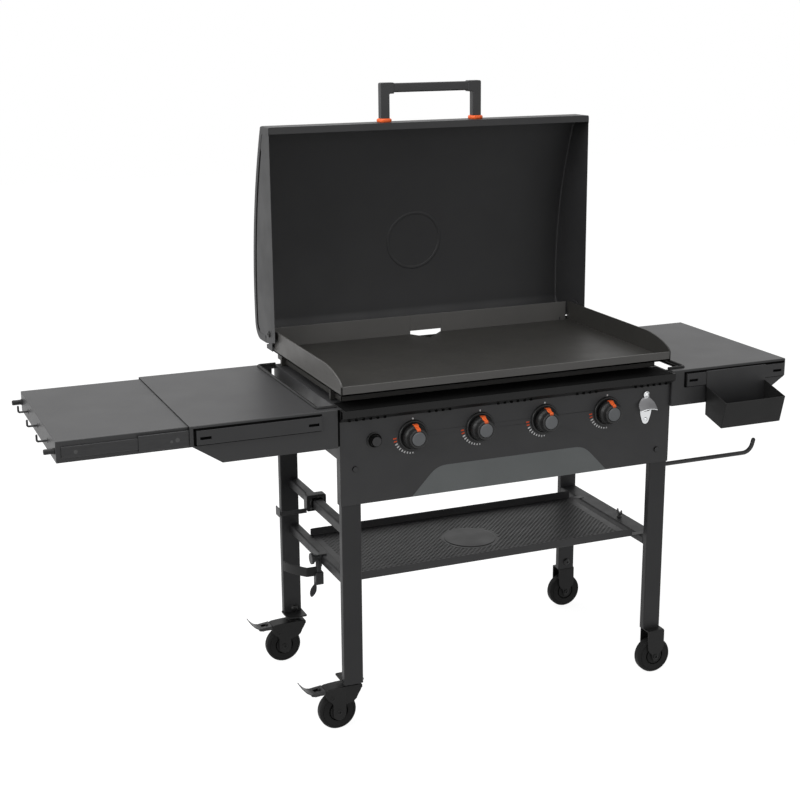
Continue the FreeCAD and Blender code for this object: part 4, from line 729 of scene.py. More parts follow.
shape = bmesh.new()
rows = int((TRAY_BACK - TRAY_FRONT - PLAIN_EDGE) / DASH_STEP[1])
columns = int((TRAY_RIGHT - TRAY_LIP_LEFT - PLAIN_EDGE) / DASH_STEP[0])
dashes = 0
for row in range(rows):
    for column in range(columns):
        x = TRAY_LIP_LEFT + FIRST_COLUMN + (column + 0.5 * (row % 2)) * DASH_STEP[0]
        y = TRAY_FRONT + FIRST_ROW + row * DASH_STEP[1]
        if math.hypot(x - DISC_CENTRE[0], y - DISC_CENTRE[1]) > DISC_RADIUS + DASH_CLEAR:
            dash(shape, x, y)
            dashes += 1
settle(shape, "tray_dashes", TRAY_COAT, clean=False)
print(dashes, "dashes pressed into the tray")

# %% [markdown]
# Each side shelf is a sheet whose front and back turn down into deep aprons with a sloping
# corner. Beside the griddle the top has a long slot, edged with a thick round bead.

# %% Side shelves
SHELF_TOP = 846.9
SHELF_FRONT, SHELF_BACK = -10.0, 499.0
BODY_HALF = 462.0
SLOT_OUT, SLOT_FRONT, SLOT_BACK, SLOT_RIM = 512.0, 14.0, 485.0, 11.0
APRON_DROP, APRON_END, APRON_KNEE = 95.0, 46.0, 75.5
APRON_IN = {-1: 469.5, 1: 462.0}
BEAD_RADIUS, BEAD_BEND, BEAD_RISE = 4.4, 9.0, 1.2


def shelf_sheet(name, sign, reach, with_end):
    """A side shelf from its top, its aprons and the turned-down edges of its slot."""
    inner, low = APRON_IN[sign], SHELF_TOP - APRON_DROP

    def flat(points, z=SHELF_TOP):
        """Points of X outwards and Y at one height, on this shelf's side."""
        return [(sign * x, y, z) for x, y in points]

    slot = [(BODY_HALF, SLOT_FRONT), (SLOT_OUT, SLOT_FRONT), (SLOT_OUT, SLOT_BACK), (BODY_HALF, SLOT_BACK)]
    made = [flat([(x, SHELF_FRONT) for x in (reach, inner, BODY_HALF)] + slot +
                 [(x, SHELF_BACK) for x in (BODY_HALF, inner, reach)])]
    apron = ((reach, SHELF_TOP), (inner, SHELF_TOP), (inner, low), (reach - APRON_KNEE, low),
             (reach, SHELF_TOP - APRON_END))
    made += [[(sign * x, y, z) for x, z in apron] for y in (SHELF_FRONT, SHELF_BACK)]
    for pair in zip(slot, slot[1:]):
        made.append(flat(pair) + flat(reversed(pair), SHELF_TOP - SLOT_RIM))
    if with_end:
        end = [(reach, SHELF_FRONT), (reach, SHELF_BACK)]
        made.append(flat(end) + flat(reversed(end), SHELF_TOP - APRON_END))
    folded(rolled(made, (0, 0, 1)), name + "_sheet", SHELF_COAT, [name])
    bead = bmesh.new()
    path = flat([(BODY_HALF + 1, SLOT_FRONT)] + slot[1:3] + [(BODY_HALF + 1, SLOT_BACK)], SHELF_TOP + BEAD_RISE)
    bar(bead, bend_path(path, BEAD_BEND), BEAD_RADIUS, steps=16)
    settle(bead, name + "_slot_bead", BEAD_BLACK)


LEFT_REACH, RIGHT_REACH = 829.5, 817.5
shelf_sheet("left_shelf", -1, LEFT_REACH, False)
shelf_sheet("right_shelf", 1, RIGHT_REACH, True)

# %% [markdown]
# The shelf extension is a shallow pan turned upside down. Its slides are three nested steel
# channels: the rolled edges along each one show as lines on the extension's side, and flat
# screw heads hold them.

# %% Shelf extension and its slides
EXT_TOP, EXT_DROP = 844.0, 50.0
EXT_REACH, EXT_IN = -1131.5, -815.5
EXT_FRONT, EXT_BACK = 2.3, 487.0
SLIDE_Z = 818.0
RUN_FRONT, RUN_BACK = SHELF_FRONT + 1.5, SHELF_BACK - 1.5
STEP = 3.4

low = EXT_TOP - EXT_DROP
panels = strips(EXT_REACH, EXT_IN, (EXT_FRONT, EXT_TOP), (EXT_BACK, EXT_TOP))
for y in (EXT_FRONT, EXT_BACK):
    panels += strips(EXT_REACH, EXT_IN, (y, EXT_TOP), (y, low))
panels.append([(EXT_REACH, EXT_FRONT, EXT_TOP), (EXT_REACH, EXT_BACK, EXT_TOP), (EXT_REACH, EXT_BACK, low),
               (EXT_REACH, EXT_FRONT, low)])
folded(rolled(panels, (0, 0, 1), bend=1.8), "extension_pan", SHELF_COAT, ["extension_shelf"], body="extension")


def channel(shape, start, end, near, far, high):
    """A slide member: a web with its two long edges rolled towards the far side, as Y and Z."""
    way = 1 if far > near else -1
    half, roll, web = high / 2, 4.0, 1.2
    outline = [(near, half - web), (near + way, half), (far, half), (far, half - roll), (near + way * web, half - roll)]
    outline = [(near, web - half)] + outline + [(y, -z) for y, z in reversed(outline[1:])]
    pushed(shape, [(y, SLIDE_Z + z) for y, z in outline], "X", start, end)


def slide_set(name, body, start, end, step, high, node):
    """The two mirrored members of one stage, each a channel with a stop pressed at its end."""
    shape = bmesh.new()
    for edge, way in ((RUN_FRONT, 1), (RUN_BACK, -1)):
        near = edge + way * step * STEP
        channel(shape, start, end, near, near + way * 3.0, high)
        for x in (start + 3, end - 3):
            pushed(shape, rounded((x - 1.6, SLIDE_Z - high / 2 + 2), (x + 1.6, SLIDE_Z + high / 2 - 2), 1.2), "Y",
                   near + way * 0.6, near + way * 2.4)
    settle(shape, name, SLIDE_STEEL, [node], body=body, slot="zinc_steel", radius=0.3)


slide_set("outer_slide_channels", "stand", -815.0, -520.0, 0, 42.0, "slide_outers")
slide_set("middle_slide_channels", "slide_middle", -947.0, -650.0, 1, 38.0, "slide_middles")
slide_set("inner_slide_channels", "extension", -1119.5, -815.5, 2, 27.0, "slide_inners")


HEAD_LEVELS = ((0.0, 1.0), (0.45, 0.97), (0.75, 0.82), (0.93, 0.5), (1.0, 0.18), (1.0, 0.0), (0.0, 0.0))
HEAD_RISE = STEP - 3.25


def slide_screws(name, body, step, spots):
    """Low flat screw heads on both sides of one stage, each spot an X, a Z and a radius."""
    shape = bmesh.new()
    for x, z, radius in spots:
        for edge, out in ((RUN_FRONT, -1), (RUN_BACK, 1)):
            profile = [(radius * share, out * HEAD_RISE * level) for share, level in HEAD_LEVELS]
            turned(shape, profile, (x, edge - out * step * STEP, z), steps=24)
    settle(shape, name, DARK_SCREW, body=body, slot="fastener_steel")


slide_screws("inner_slide_screws", "extension", 2, ((-1088.0, 817.0, 4.6),))
slide_screws("middle_slide_screws", "slide_middle", 1, ((-871.0, 815.0, 3.4), (-857.0, 817.5, 5.2)))

# %% [markdown]
# Tool hooks are bent from round bar and stand out of both shelf ends, and two rubber buffers
# beside the left ones meet a wall first.

# %% Hooks and buffers
HOOK_Z, HOOK_MIDDLE, HOOK_PITCH = 819.5, 241.0, 135.0
HOOK_OUT, HOOK_UP, HOOK_RADIUS = 24.0, 17.0, 2.5

for name, body, face, sign in (("extension_hooks", "extension", EXT_REACH, -1),
                               ("right_hooks", "stand", RIGHT_REACH, 1)):
    washer = ((0.0, sign), (5.4, sign), (6.2, 0.0), (0.0, 0.0))
    shape = bmesh.new()
    for i in (-1, 0, 1):
        y = HOOK_MIDDLE + i * HOOK_PITCH
        tip = face + sign * HOOK_OUT
        path = [(face - sign, y, HOOK_Z), (tip, y, HOOK_Z), (tip, y, HOOK_Z + HOOK_UP)]
        bar(shape, bend_path(path, 4.0), HOOK_RADIUS, steps=14, domed=True)
        turned(shape, washer, (face, y, HOOK_Z), axis="X", steps=20)
    settle(shape, name + "_bent", BLACK_COAT, [name], body=body)

BUFFER = ((0.0, 0.0), (7.6, 0.0), (7.6, -2.5), (6.5, -3.5), (6.2, -12.0), (6.5, -22.0), (5.6, -24.4), (3.6, -25.0),
          (0.0, -25.0))
spun("extension_buffers", BUMPER, BUFFER, [(EXT_REACH, y, HOOK_Z) for y in (16.0, 472.0)], body="extension",
     slot="bumper_rubber", axis="X", steps=32, stands_for=["extension_bumpers"])

# %% [markdown]
# The hood is drawn shut, with its hinge at zero, and swung open as one last step. Its cover is
# a single sheet: from the rim over the brow and the long curved roof down to the heel, with
# both sides folded round a small radius into a flange. A line that can be moved inwards by
# any depth gives the cover, its flanges and the black strip of painted shade in the joint beside them.

# %% The hood's line
HINGE = Vector((0, 518.0, 923.0))
HOOD_OPEN = Matrix.Translation(HINGE) @ Matrix.Rotation(math.radians(-90.6), 4, "X")
HOOD_HALF, HOOD_FRONT, HOOD_RIM = 467.5, -548.0, -50.0
ROOF_CENTRE, ROOF_RADIUS, CROWN_TURN = (-75.74, -1002.79), 1128.37, 86.965
HEEL_CENTRE, HEEL_RADIUS, HOOD_BACK, TAIL_LOW = (-16.0, 77.0), 47.0, 31.0, 30.0
BROW_RADIUS = 8.0


def brow(depth):
    """Where the front and the roof meet, both moved inwards by a depth."""
    y = HOOD_FRONT + depth
    return y, ROOF_CENTRE[1] + math.sqrt((ROOF_RADIUS - depth) ** 2 - (y - ROOF_CENTRE[0]) ** 2)


def roof_turn(point):
    """The angle of a point about the roof's centre, in degrees."""
    return math.degrees(math.atan2(point[1] - ROOF_CENTRE[1], point[0] - ROOF_CENTRE[0]))


def hood_line(depth):
    """The hood's side line from rim to tail, moved inwards; it has the same count at any depth."""
    corner = brow(BROW_RADIUS)
    if depth < BROW_RADIUS - 0.5:
        line = arc_points(corner, BROW_RADIUS - depth, 180, roof_turn(corner), 7)
    else:
        line = [brow(depth)] * 7
    start = roof_turn(line[-1])
    line += arc_points(ROOF_CENTRE, ROOF_RADIUS - depth, start + (CROWN_TURN - start) / 26, CROWN_TURN, 26)
    line += arc_points(HEEL_CENTRE, HEEL_RADIUS - depth, 84, 0, 10)
    return [(HOOD_FRONT + depth, HOOD_RIM)] + line + [(HOOD_BACK - depth, TAIL_LOW)]


def edge_stations(half, radius, flange, proud=0.0, flats=2):
    """Pairs of place across and depth, from one flange's edge over the top to the other's."""
    side = [(-half - proud, flange), (-half - proud, (flange + radius) / 2)]
    side += [(-half - proud + radius * (1 - math.cos(t)), radius * (1 - math.sin(t)))
             for t in (math.pi / 2 * i / 5 for i in range(6))]
    middle = [((half - radius) * (2 * i / (flats + 1) - 1), 0.0) for i in range(1, flats + 1)]
    return side + middle + [(-across, depth) for across, depth in reversed(side)]


def wrapped(line, stations, spots):
    """A skin whose rows follow a line at each station's depth, spots giving a point from both."""
    shape = bmesh.new()
    columns = [[shape.verts.new(spots(across, pair)) for pair in line(depth)] for across, depth in stations]
    bridge(shape, columns, closed=False)
    bmesh.ops.remove_doubles(shape, verts=shape.verts, dist=0.01)
    bmesh.ops.dissolve_degenerate(shape, edges=shape.edges, dist=0.01)
    bmesh.ops.recalc_face_normals(shape, faces=shape.faces)
    return shape


def face_out(shape, near, out):
    """Turn every face over if the one nearest a point looks away from a direction."""
    face = min(shape.faces, key=lambda f: (f.calc_center_median() - Vector(near)).length)
    if face.normal.dot(Vector(out)) < 0:
        bmesh.ops.reverse_faces(shape, faces=shape.faces)


def swung(shape):
    """Swing a shape of the shut hood open."""
    bmesh.ops.transform(shape, matrix=HOOD_OPEN, verts=shape.verts)
    return shape


# %% [markdown]
# The cover and the two sides are separate sheets, as on the real hood. Where they meet, the
# narrow joint lies in shade, and that shade is painted as a thin black strip beside the flange.
# The rim's lip faces the cook when the hood is open.

# %% Hood sheets
FLANGE, FLANGE_PROUD, JOINT = 21.0, 0.8, 9.0
FRONT_LIP, LIP_SHEET, LIP_SHY = 18.0, 1.2, 0.2
JOINT_RUN = slice(9, 42)

shape = wrapped(hood_line, edge_stations(HOOD_HALF, 6.0, FLANGE, FLANGE_PROUD, flats=5),
                lambda across, pair: Vector((across, *pair)))
face_out(shape, (0, -200, 116), (0, 0, 1))
folded(swung(shape), "hood_cover", HOOD_COAT, ["hood_shell"], body="hood", slot="hood_paint", thick=1.2, edge=0.3)

shape = bmesh.new()
for sign in (-1, 1):
    outline = hood_line(1.4) + [(15.5, HOOD_RIM)]
    pushed(shape, outline, "X", sign * HOOD_HALF, sign * (HOOD_HALF - 1.2))
settle(swung(shape), "hood_sides", HOOD_COAT, ["hood_ends"], body="hood", slot="hood_paint", radius=0.3)

shape = bmesh.new()
for sign in (-1, 1):
    outer, inner = (hood_line(depth)[JOINT_RUN] for depth in (FLANGE - 1, FLANGE + JOINT))
    pushed(shape, outer + inner[::-1], "X", sign * (HOOD_HALF - 0.1), sign * (HOOD_HALF + 0.25))
settle(swung(shape), "hood_joint_shadow", SHADE_BLACK, body="hood", slot="hood_paint")

shape = bmesh.new()
inside = HOOD_HALF - 1.5
lip = [(HOOD_FRONT + y, HOOD_RIM + z)
       for y, z in ((LIP_SHY, 0), (FRONT_LIP, 0), (FRONT_LIP, LIP_SHEET), (LIP_SHY, LIP_SHEET))]
pushed(shape, lip, "X", -inside, inside)
settle(swung(shape), "hood_rim_lip", HOOD_COAT, body="hood", slot="hood_paint", radius=0.45)

# %% [markdown]
# Inside the roof a plain ring is pressed into the sheet. Its points are laid on the roof's
# curve by turning distance along the roof into an angle.

# %% Ring pressed into the roof
RING_X, RING_TURN, RING_RADIUS = 5.0, 96.7, 79.0
RING_SECTION = ((-4.6, 1.0), (-3.9, 1.9), (-2.8, 2.6), (2.8, 2.6), (3.9, 1.9), (4.6, 1.0))
RING_STEPS = 96


def under_roof(x, along, depth):
    """A point under the roof from a place across, a distance along from the ring's centre and a depth."""
    turn = math.radians(RING_TURN) - along / ROOF_RADIUS
    reach = ROOF_RADIUS - depth
    return Vector((RING_X + x, ROOF_CENTRE[0] + reach * math.cos(turn), ROOF_CENTRE[1] + reach * math.sin(turn)))


shape = bmesh.new()
rings = []
for k in range(RING_STEPS):
    turn = math.tau * k / RING_STEPS
    reaches = [(RING_RADIUS + r, depth) for r, depth in RING_SECTION]
    rings.append([shape.verts.new(under_roof(r * math.cos(turn), r * math.sin(turn), depth)) for r, depth in reaches])
bridge(shape, rings + rings[:1])
settle(swung(shape), "hood_pressed_ring", HOOD_COAT, body="hood", slot="hood_paint")

# %% [markdown]
# The handle is moulded: two elbows stand in orange bezels and hold a thinner grip between
# them. It belongs to the front of the hood, so with the hood open it stands on top. Each
# outline is in X and in the distance out from the hinge.

# %% Hood handle
HANDLE_Z = -15.0
ELBOW_HALF_DEEP, GRIP_HALF_DEEP, GRIP_HALF_LONG = 10.6, 9.2, 110.0
PAD_X, PAD_HALF, PAD_CORNER = 134.0, 19.0, 15.0


def elbow(sign):
    """One end post: a foot, a rounded outer corner and a short arm towards the grip."""
    outline = [(146.5, 545)] + arc_points((142, 646.5), 4.5, 0, 90, 6) + arc_points((111, 648), 3, 90, 180, 5)
    outline += arc_points((110, 624), 2, 180, 270, 4) + arc_points((118.5, 619), 3, 90, 0, 5) + [(121.5, 545)]
    return [(sign * x, out) for x, out in outline]


shape = bmesh.new()
for sign in (-1, 1):
    for vert in pushed(shape, elbow(sign), "Z", HANDLE_Z - ELBOW_HALF_DEEP, HANDLE_Z + ELBOW_HALF_DEEP):
        vert.co.y = -vert.co.y
settle(swung(shape), "handle_elbows", GRIP_BLACK, ["hood_handle"], body="hood", slot="dark_plastic", radius=2.6,
       steps=4)

shape = bmesh.new()
section = rounded((625, HANDLE_Z - GRIP_HALF_DEEP), (649, HANDLE_Z + GRIP_HALF_DEEP), 4.5)
pushed(shape, [(-out, z) for out, z in section], "X", -GRIP_HALF_LONG, GRIP_HALF_LONG)
settle(swung(shape), "handle_grip", GRIP_BLACK, body="hood", slot="dark_plastic")

shape = bmesh.new()
for sign in (-1, 1):
    outline = rounded((sign * PAD_X - PAD_HALF, HANDLE_Z - PAD_HALF), (sign * PAD_X + PAD_HALF, HANDLE_Z + PAD_HALF),
                      PAD_CORNER)
    pushed(shape, outline, "Y", HOOD_FRONT + 0.5, HOOD_FRONT - 10)
settle(swung(shape), "handle_bezel_pads", ORANGE, ["handle_bezels"], body="hood", slot="orange_plastic", radius=4.4,
       steps=5)
print("hood swung open about", tuple(HINGE))

# %% [markdown]
# Behind the griddle each hinge bracket is one bent sheet: an ear outside the plate's wall, a
# strap behind it, and a leg down to the rear panel.

# %% Hinge brackets
EAR_OUT, EAR_LEG, EAR_SHEET = 465.0, 428.0, 3.0
EAR_LOW, STEP_BACK, STEP_TOP = 878.0, 550.0, 889.0
LEG_FRONT, LEG_LOW, LEG_CREST = 501.0, 800.0, 855.0
shape = bmesh.new()
for sign in (-1, 1):
    ear = [(502, EAR_LOW), (STEP_BACK, EAR_LOW), (STEP_BACK, STEP_TOP), (534, STEP_TOP), (534, 930)]
    ear += arc_points((525, 930), 9, 20, 90, 5) + arc_points((511, 930), 9, 90, 180, 6)
    pushed(shape, ear, "X", sign * (EAR_OUT - EAR_SHEET), sign * EAR_OUT)
    leg = [(LEG_FRONT, LEG_LOW), (STEP_BACK, LEG_LOW), (STEP_BACK, STEP_TOP), (540, STEP_TOP), (540, LEG_CREST),
           (LEG_FRONT, LEG_CREST)]
    pushed(shape, leg, "X", sign * EAR_LEG, sign * (EAR_LEG - EAR_SHEET))
    for low, high in (((EAR_LEG - EAR_SHEET, STEP_BACK - EAR_SHEET, EAR_LOW), (EAR_OUT, STEP_BACK, STEP_TOP)),
                      ((EAR_LEG - 28, LEG_FRONT, LEG_LOW), (EAR_LEG, LEG_FRONT + EAR_SHEET, LEG_TOP))):
        near, far = sorted((sign * low[0], sign * high[0]))
        block(shape, (near, *low[1:]), (far, *high[1:]))
settle(shape, "hinge_bracket_sheets", HOOD_COAT, ["hinge_brackets"], radius=0.6, clean=False)

# %% [markdown]
# Each caster on the left swivels under its leg. Its fork is pressed from one sheet: two
# cheeks, a top that arches back over the wheel, and edges that are rolled rather than sharp.
# The arch is wrapped like the hood's cover, and flat cheeks fill in below it.

# %% Swivel forks
STEM_X, TRAIL = -434.35, 36.0
SWIVEL_Y = {"front": 32.4, "rear": 467.1}
FIXED_X, FIXED_Y = 437.35, {"front": -1.6, "rear": 501.1}
AXLE_Z, FORK_HALF, FORK_SHEET = 49.0, 20.7, 2.5
ARCH_PATH = ((27.5, 107.0), (27.3, 113.6), (24.5, 116.6), (-15.0, 116.9), (-30.0, 116.5), (-50.0, 115.4),
             (-63.0, 114.2), (-69.0, 112.0), (-72.0, 107.4), (-73.0, 100.0))


def inset(points, depth):
    """An open line moved towards its left-hand side, its corners kept in step."""
    points = [Vector(point) for point in points]
    ways = [(b - a).normalized() for a, b in zip(points, points[1:])]
    normals = [Vector((-way.y, way.x)) for way in ways]
    moved = []
    for i, point in enumerate(points):
        before, after = normals[max(i - 1, 0)], normals[min(i, len(normals) - 1)]
        moved.append(tuple(point + (before + after) * depth / (1 + before.dot(after))))
    return moved


def axle_head(shape, centre, side, radius=7.0, rise=2.4):
    """A domed bolt head with a hollow in it, on one side of a fork."""
    profile = ((0.0, 0.4), (2.9, 0.4), (3.3, 0.9), (3.5, rise - 0.1), (4.0, rise), (5.2, rise - 0.1), (6.3, rise - 0.6),
               (radius, rise * 0.45), (radius, 0.0), (0.0, 0.0))
    turned(shape, [(r, side * out) for r, out in profile], centre, steps=24)


def swivel_cheek():
    """The cheek's outline: back edge, arch, and a foot with a round end under the axle."""
    outline = [(-17.5, 115.2), (-30.0, 114.8), (-50.0, 113.7), (-63.0, 112.5), (-68.0, 110.4), (-70.6, 106.6),
               (-71.6, 100.0), (-68.0, 90.5), (-62.0, 83.4), (-55.6, 78.6), (-52.4, 74.6), (-51.5, 70.0)]
    return outline + arc_points((-34.5, 44.6), 17.0, 180, 360, 24)


GUSSET = ((-19.5, 114.6), (26.0, 114.6), (26.4, 108.0), (22.6, 99.0), (17.0, 90.0), (11.6, 78.5), (4.0, 72.0),
          (-19.5, 66.0))
GUSSET_SPAN = (16.9, 19.1)
NECK = ((0, 116.4), (19.5, 116.4), (19.5, 118.0), (18.2, 119.2), (16.2, 119.8), (14.6, 120.6), (14.4, 121.7),
        (0, 121.7))
PAD_RING = ((0, 122.1), (13.0, 122.1), (16.4, 123.4), (17.4, 125.4), (17.4, 130.4), (0, 130.4))
AXLE_OUT = FORK_HALF - 0.1


for end, y in SWIVEL_Y.items():
    body, node = "fork_" + end, "swivel_fork_" + end
    shape = wrapped(lambda depth: [(STEM_X + u, z) for u, z in inset(ARCH_PATH, depth)],
                    edge_stations(FORK_HALF, 2.6, 4.2, flats=1),
                    lambda across, pair: Vector((pair[0], y + across, pair[1])))
    face_out(shape, (STEM_X - 20, y, 116), (0, 0, 1))
    folded(shape, node + "_arch", CASTER_COAT, [node], body=body, slot="caster_paint", thick=2.2, edge=0.3)
    shape = bmesh.new()
    for side in (-1, 1):
        pushed(shape, [(STEM_X + u, z) for u, z in swivel_cheek()], "Y", y + side * (FORK_HALF - FORK_SHEET),
               y + side * (FORK_HALF - 0.05))
    for side in (-1, 1):
        pushed(shape, [(STEM_X + u, z) for u, z in GUSSET], "Y", *(y + side * edge for edge in GUSSET_SPAN))
    settle(shape, node + "_cheeks", CASTER_COAT, body=body, slot="caster_paint", radius=0.6)
    shape = bmesh.new()
    turned(shape, NECK, (STEM_X, y, 0), axis="Z", steps=40)
    for side in (-1, 1):
        axle_head(shape, (STEM_X - TRAIL, y + side * AXLE_OUT, AXLE_Z), side)
        axle_head(shape, (STEM_X - 52, y + side * AXLE_OUT, 89.0), side, radius=4.4, rise=1.4)
    settle(shape, node + "_neck", CASTER_COAT, body=body, slot="caster_paint")

shape = bmesh.new()
for y in SWIVEL_Y.values():
    pushed(shape, rounded((STEM_X - 29, y - 29), (STEM_X + 29, y + 29), 5.0), "Z", 130.2, 134.0)
    turned(shape, PAD_RING, (STEM_X, y, 0), axis="Z", steps=40)
settle(shape, "swivel_pad_plates", CASTER_COAT, ["swivel_pads"], slot="caster_paint", radius=0.7)

# %% [markdown]
# The brake pedal is a sheet that leaves the fork over the wheel, with a window, a short skirt
# on both sides and a tip that curls up for a shoe. A grid of panels makes it, with the
# window's panels left out.

# %% Brake pedals
PEDAL_LINE = ((-71.4, 113.4), (-79.0, 112.6), (-98.0, 110.8), (-103.0, 110.4), (-108.0, 110.8), (-113.0, 113.0),
              (-119.0, 117.2), (-125.0, 123.6), (-130.4, 130.0), (-133.6, 135.4))
PEDAL_HALF = (20.4, 20.4, 20.0, 19.6, 19.2, 18.4, 17.8, 16.6, 14.6, 12.0)
WINDOW_SHARE, SKIRT_ROWS, SKIRT_DEEP, SKIRT_RISE = 7.0 / 19, 3, 8.6, 2.4
TONGUE = ((-54, 99.5), (-54, 106.4), (-74, 107.4), (-104, 105.0), (-106, 101.4), (-99, 100.0))
TONGUE_KNOB = ((-79, 104.2), (-79, 116.0), (-85, 115.4), (-85, 104.2))


def pedal_panels(y):
    """Quads of the pedal's sheet, row by row, without the window."""
    panels = []
    for i in range(len(PEDAL_LINE) - 1):
        (ua, za), (ub, zb) = PEDAL_LINE[i], PEDAL_LINE[i + 1]
        wa, wb = PEDAL_HALF[i], PEDAL_HALF[i + 1]
        for a, b in ((-1.0, -WINDOW_SHARE), (-WINDOW_SHARE, WINDOW_SHARE), (WINDOW_SHARE, 1.0)):
            if i == 1 and a < 0 < b:
                continue
            panels.append([(STEM_X + ua, y + a * wa, za), (STEM_X + ub, y + a * wb, zb),
                           (STEM_X + ub, y + b * wb, zb), (STEM_X + ua, y + b * wa, za)])
        if i < SKIRT_ROWS:
            foot = zb - SKIRT_DEEP + SKIRT_RISE * (i == SKIRT_ROWS - 1)
            for side in (-1, 1):
                panels.append([(STEM_X + ua, y + side * wa, za), (STEM_X + ub, y + side * wb, zb),
                               (STEM_X + ub, y + side * wb, foot), (STEM_X + ua, y + side * wa, za - SKIRT_DEEP)])
    return panels


for end, y in SWIVEL_Y.items():
    body, node = "brake_" + end, "brake_lever_" + end
    folded(rolled(pedal_panels(y), (0, 0, 1), bend=2.2, steps=4), node + "_sheet", PEDAL_COAT, [node], body=body,
           slot="caster_paint", thick=2.0, edge=0.3)
    shape = bmesh.new()
    for outline, half in ((TONGUE, 14.0), (TONGUE_KNOB, 5.4)):
        pushed(shape, [(STEM_X + u, z) for u, z in outline], "Y", y - half, y + half)
    settle(shape, node + "_tongue", CASTER_COAT, body=body, slot="caster_paint", radius=0.8)

# %% [markdown]
# A caster wheel is one turning: a tread with round shoulders, a flat side, a deep groove
# round the hub and a boss that spaces it from the fork.

# %% Wheels
WHEEL_SIDE = ((5.1, -17.9), (8.5, -17.9), (9.2, -17.3), (9.5, -14.8), (20.8, -14.6), (21.6, -14.0), (22.0, -8.0),
              (24.8, -8.0), (25.2, -14.0), (26.2, -14.6), (38.5, -14.6), (40.0, -14.1), (40.6, -13.0), (41.2, -13.8),
              (43.0, -14.0), (46.6, -12.4), (48.4, -9.4), (48.96, -6.0))
WHEEL_PROFILE = WHEEL_SIDE + tuple((r, -out) for r, out in reversed(WHEEL_SIDE)) + (WHEEL_SIDE[0],)
WHEELS = {"front_left": ("wheel_fl", STEM_X - TRAIL, SWIVEL_Y["front"]),
          "rear_left": ("wheel_rl", STEM_X - TRAIL, SWIVEL_Y["rear"]),
          "front_right": ("wheel_fr", FIXED_X, FIXED_Y["front"]), "rear_right": ("wheel_rr", FIXED_X, FIXED_Y["rear"])}

for place, (body, x, y) in WHEELS.items():
    spun("wheel_%s_turning" % place, TYRE, WHEEL_PROFILE, [(x, y, AXLE_Z)], body=body, slot="wheel_rubber",
         steps=72, stands_for=["wheel_" + place], angle=40)
print("wheels at", [(round(x, 1), round(y, 1)) for body, x, y in WHEELS.values()])

# %% [markdown]
# The casters on the right don't swivel. Each fork is one strap bent over the wheel, wide at
# the top and narrowing to a round end at the axle, so its grid of points gets narrower row by
# row.

# %% Fixed forks
STRAP_HALF = ((36.0, 3.6), (37.5, 5.4), (40.0, 7.5), (44.0, 9.0), (49.0, 9.6), (54.0, 10.6), (57.0, 12.6), (60.0, 15.6),
              (64.0, 19.2), (68.0, 21.8), (72.0, 23.6), (76.0, 24.6), (80.0, 25.0), (100.0, 25.0), (120.5, 25.0))
STRAP_BEND, STRAP_SHOULDER = 4.2, 120.8


def strap_rows(y):
    """Rows of the strap: height up the front, over the crown and down the back, with half widths."""
    front = [(y - FORK_HALF, z, half) for z, half in STRAP_HALF]
    turns = [math.pi / 2 * i / 5 for i in range(1, 6)]
    bend = [(y - FORK_HALF + STRAP_BEND * (1 - math.cos(t)), STRAP_SHOULDER + STRAP_BEND * math.sin(t), 25.0)
            for t in turns]
    back = [(2 * y - a, z, half) for a, z, half in reversed(front + bend)]
    return front + bend + back


for end, y in FIXED_Y.items():
    shape = bmesh.new()
    grid = [[shape.verts.new((FIXED_X + half * (k / 4 - 1), row_y, z)) for k in range(9)]
            for row_y, z, half in strap_rows(y)]
    bridge(shape, grid, closed=False)
    bmesh.ops.recalc_face_normals(shape, faces=shape.faces)
    face_out(shape, (FIXED_X, y, 125), (0, 0, 1))
    folded(shape, "fixed_fork_%s_strap" % end, CASTER_COAT, ["fixed_forks"] if end == "front" else (),
           slot="caster_paint", thick=2.5, edge=0.4)
shape = bmesh.new()
for y in FIXED_Y.values():
    for side in (-1, 1):
        axle_head(shape, (FIXED_X, y + side * AXLE_OUT, AXLE_Z), side, radius=6.6, rise=2.6)
settle(shape, "fixed_fork_axles", CASTER_COAT, slot="caster_paint")

# %% [markdown]
# The paper-towel rod is a round bar that turns up at its free end, and the bottle opener is
# three pieces of plated sheet: a round boss, a hooded plate with an arched lip, and a
# tapering plate with its screw.

# %% Towel rod
ROD_Y, ROD_RADIUS, ROD_BEND = 10.4, 5.75, 30.0
shape = bmesh.new()
path = bend_path([(452, ROD_Y, 588), (733, ROD_Y, 588), (744, ROD_Y, 627)], ROD_BEND, 12)
bar(shape, path, ROD_RADIUS, steps=24, domed=True)
settle(shape, "towel_rod_bar", BLACK_COAT, ["towel_rod"])

# %% Bottle opener
OPENER_X = 387.0
HOOD_ROWS = ((783.0, -3.0, 9.0), (780.0, -4.2, 14.0), (776.0, -6.0, 19.0), (771.0, -9.6, 23.6), (766.0, -14.0, 25.6),
             (761.0, -19.4, 26.0), (756.5, -24.2, 25.0))
LIP_ARCH = 5.0
BOSS = ((0.0, -10.4), (3.0, -10.2), (5.6, -9.0), (6.6, -7.6), (8.6, -7.0), (9.0, -6.0), (9.0, -1.4), (0.0, -1.4))
OPENER_SCREW = ((0.0, -8.2), (2.2, -8.0), (4.4, -7.0), (5.4, -5.6), (5.4, -4.4), (0.0, -4.4))

shape = bmesh.new()
grid = []
for i, (z, y, half) in enumerate(HOOD_ROWS):
    row = []
    for k in range(13):
        share = k / 6 - 1
        sag = LIP_ARCH * share ** 2 * (i / (len(HOOD_ROWS) - 1))
        row.append(shape.verts.new((OPENER_X + half * share, y + 0.5 * sag, z - sag)))
    grid.append(row)
bridge(shape, grid, closed=False)
bmesh.ops.recalc_face_normals(shape, faces=shape.faces)
face_out(shape, (OPENER_X, -10, 771), (0, -1, 0))
folded(shape, "opener_hood", OPENER_GREY, ["bottle_opener"], slot="chrome_plate", thick=1.8, edge=0.4)

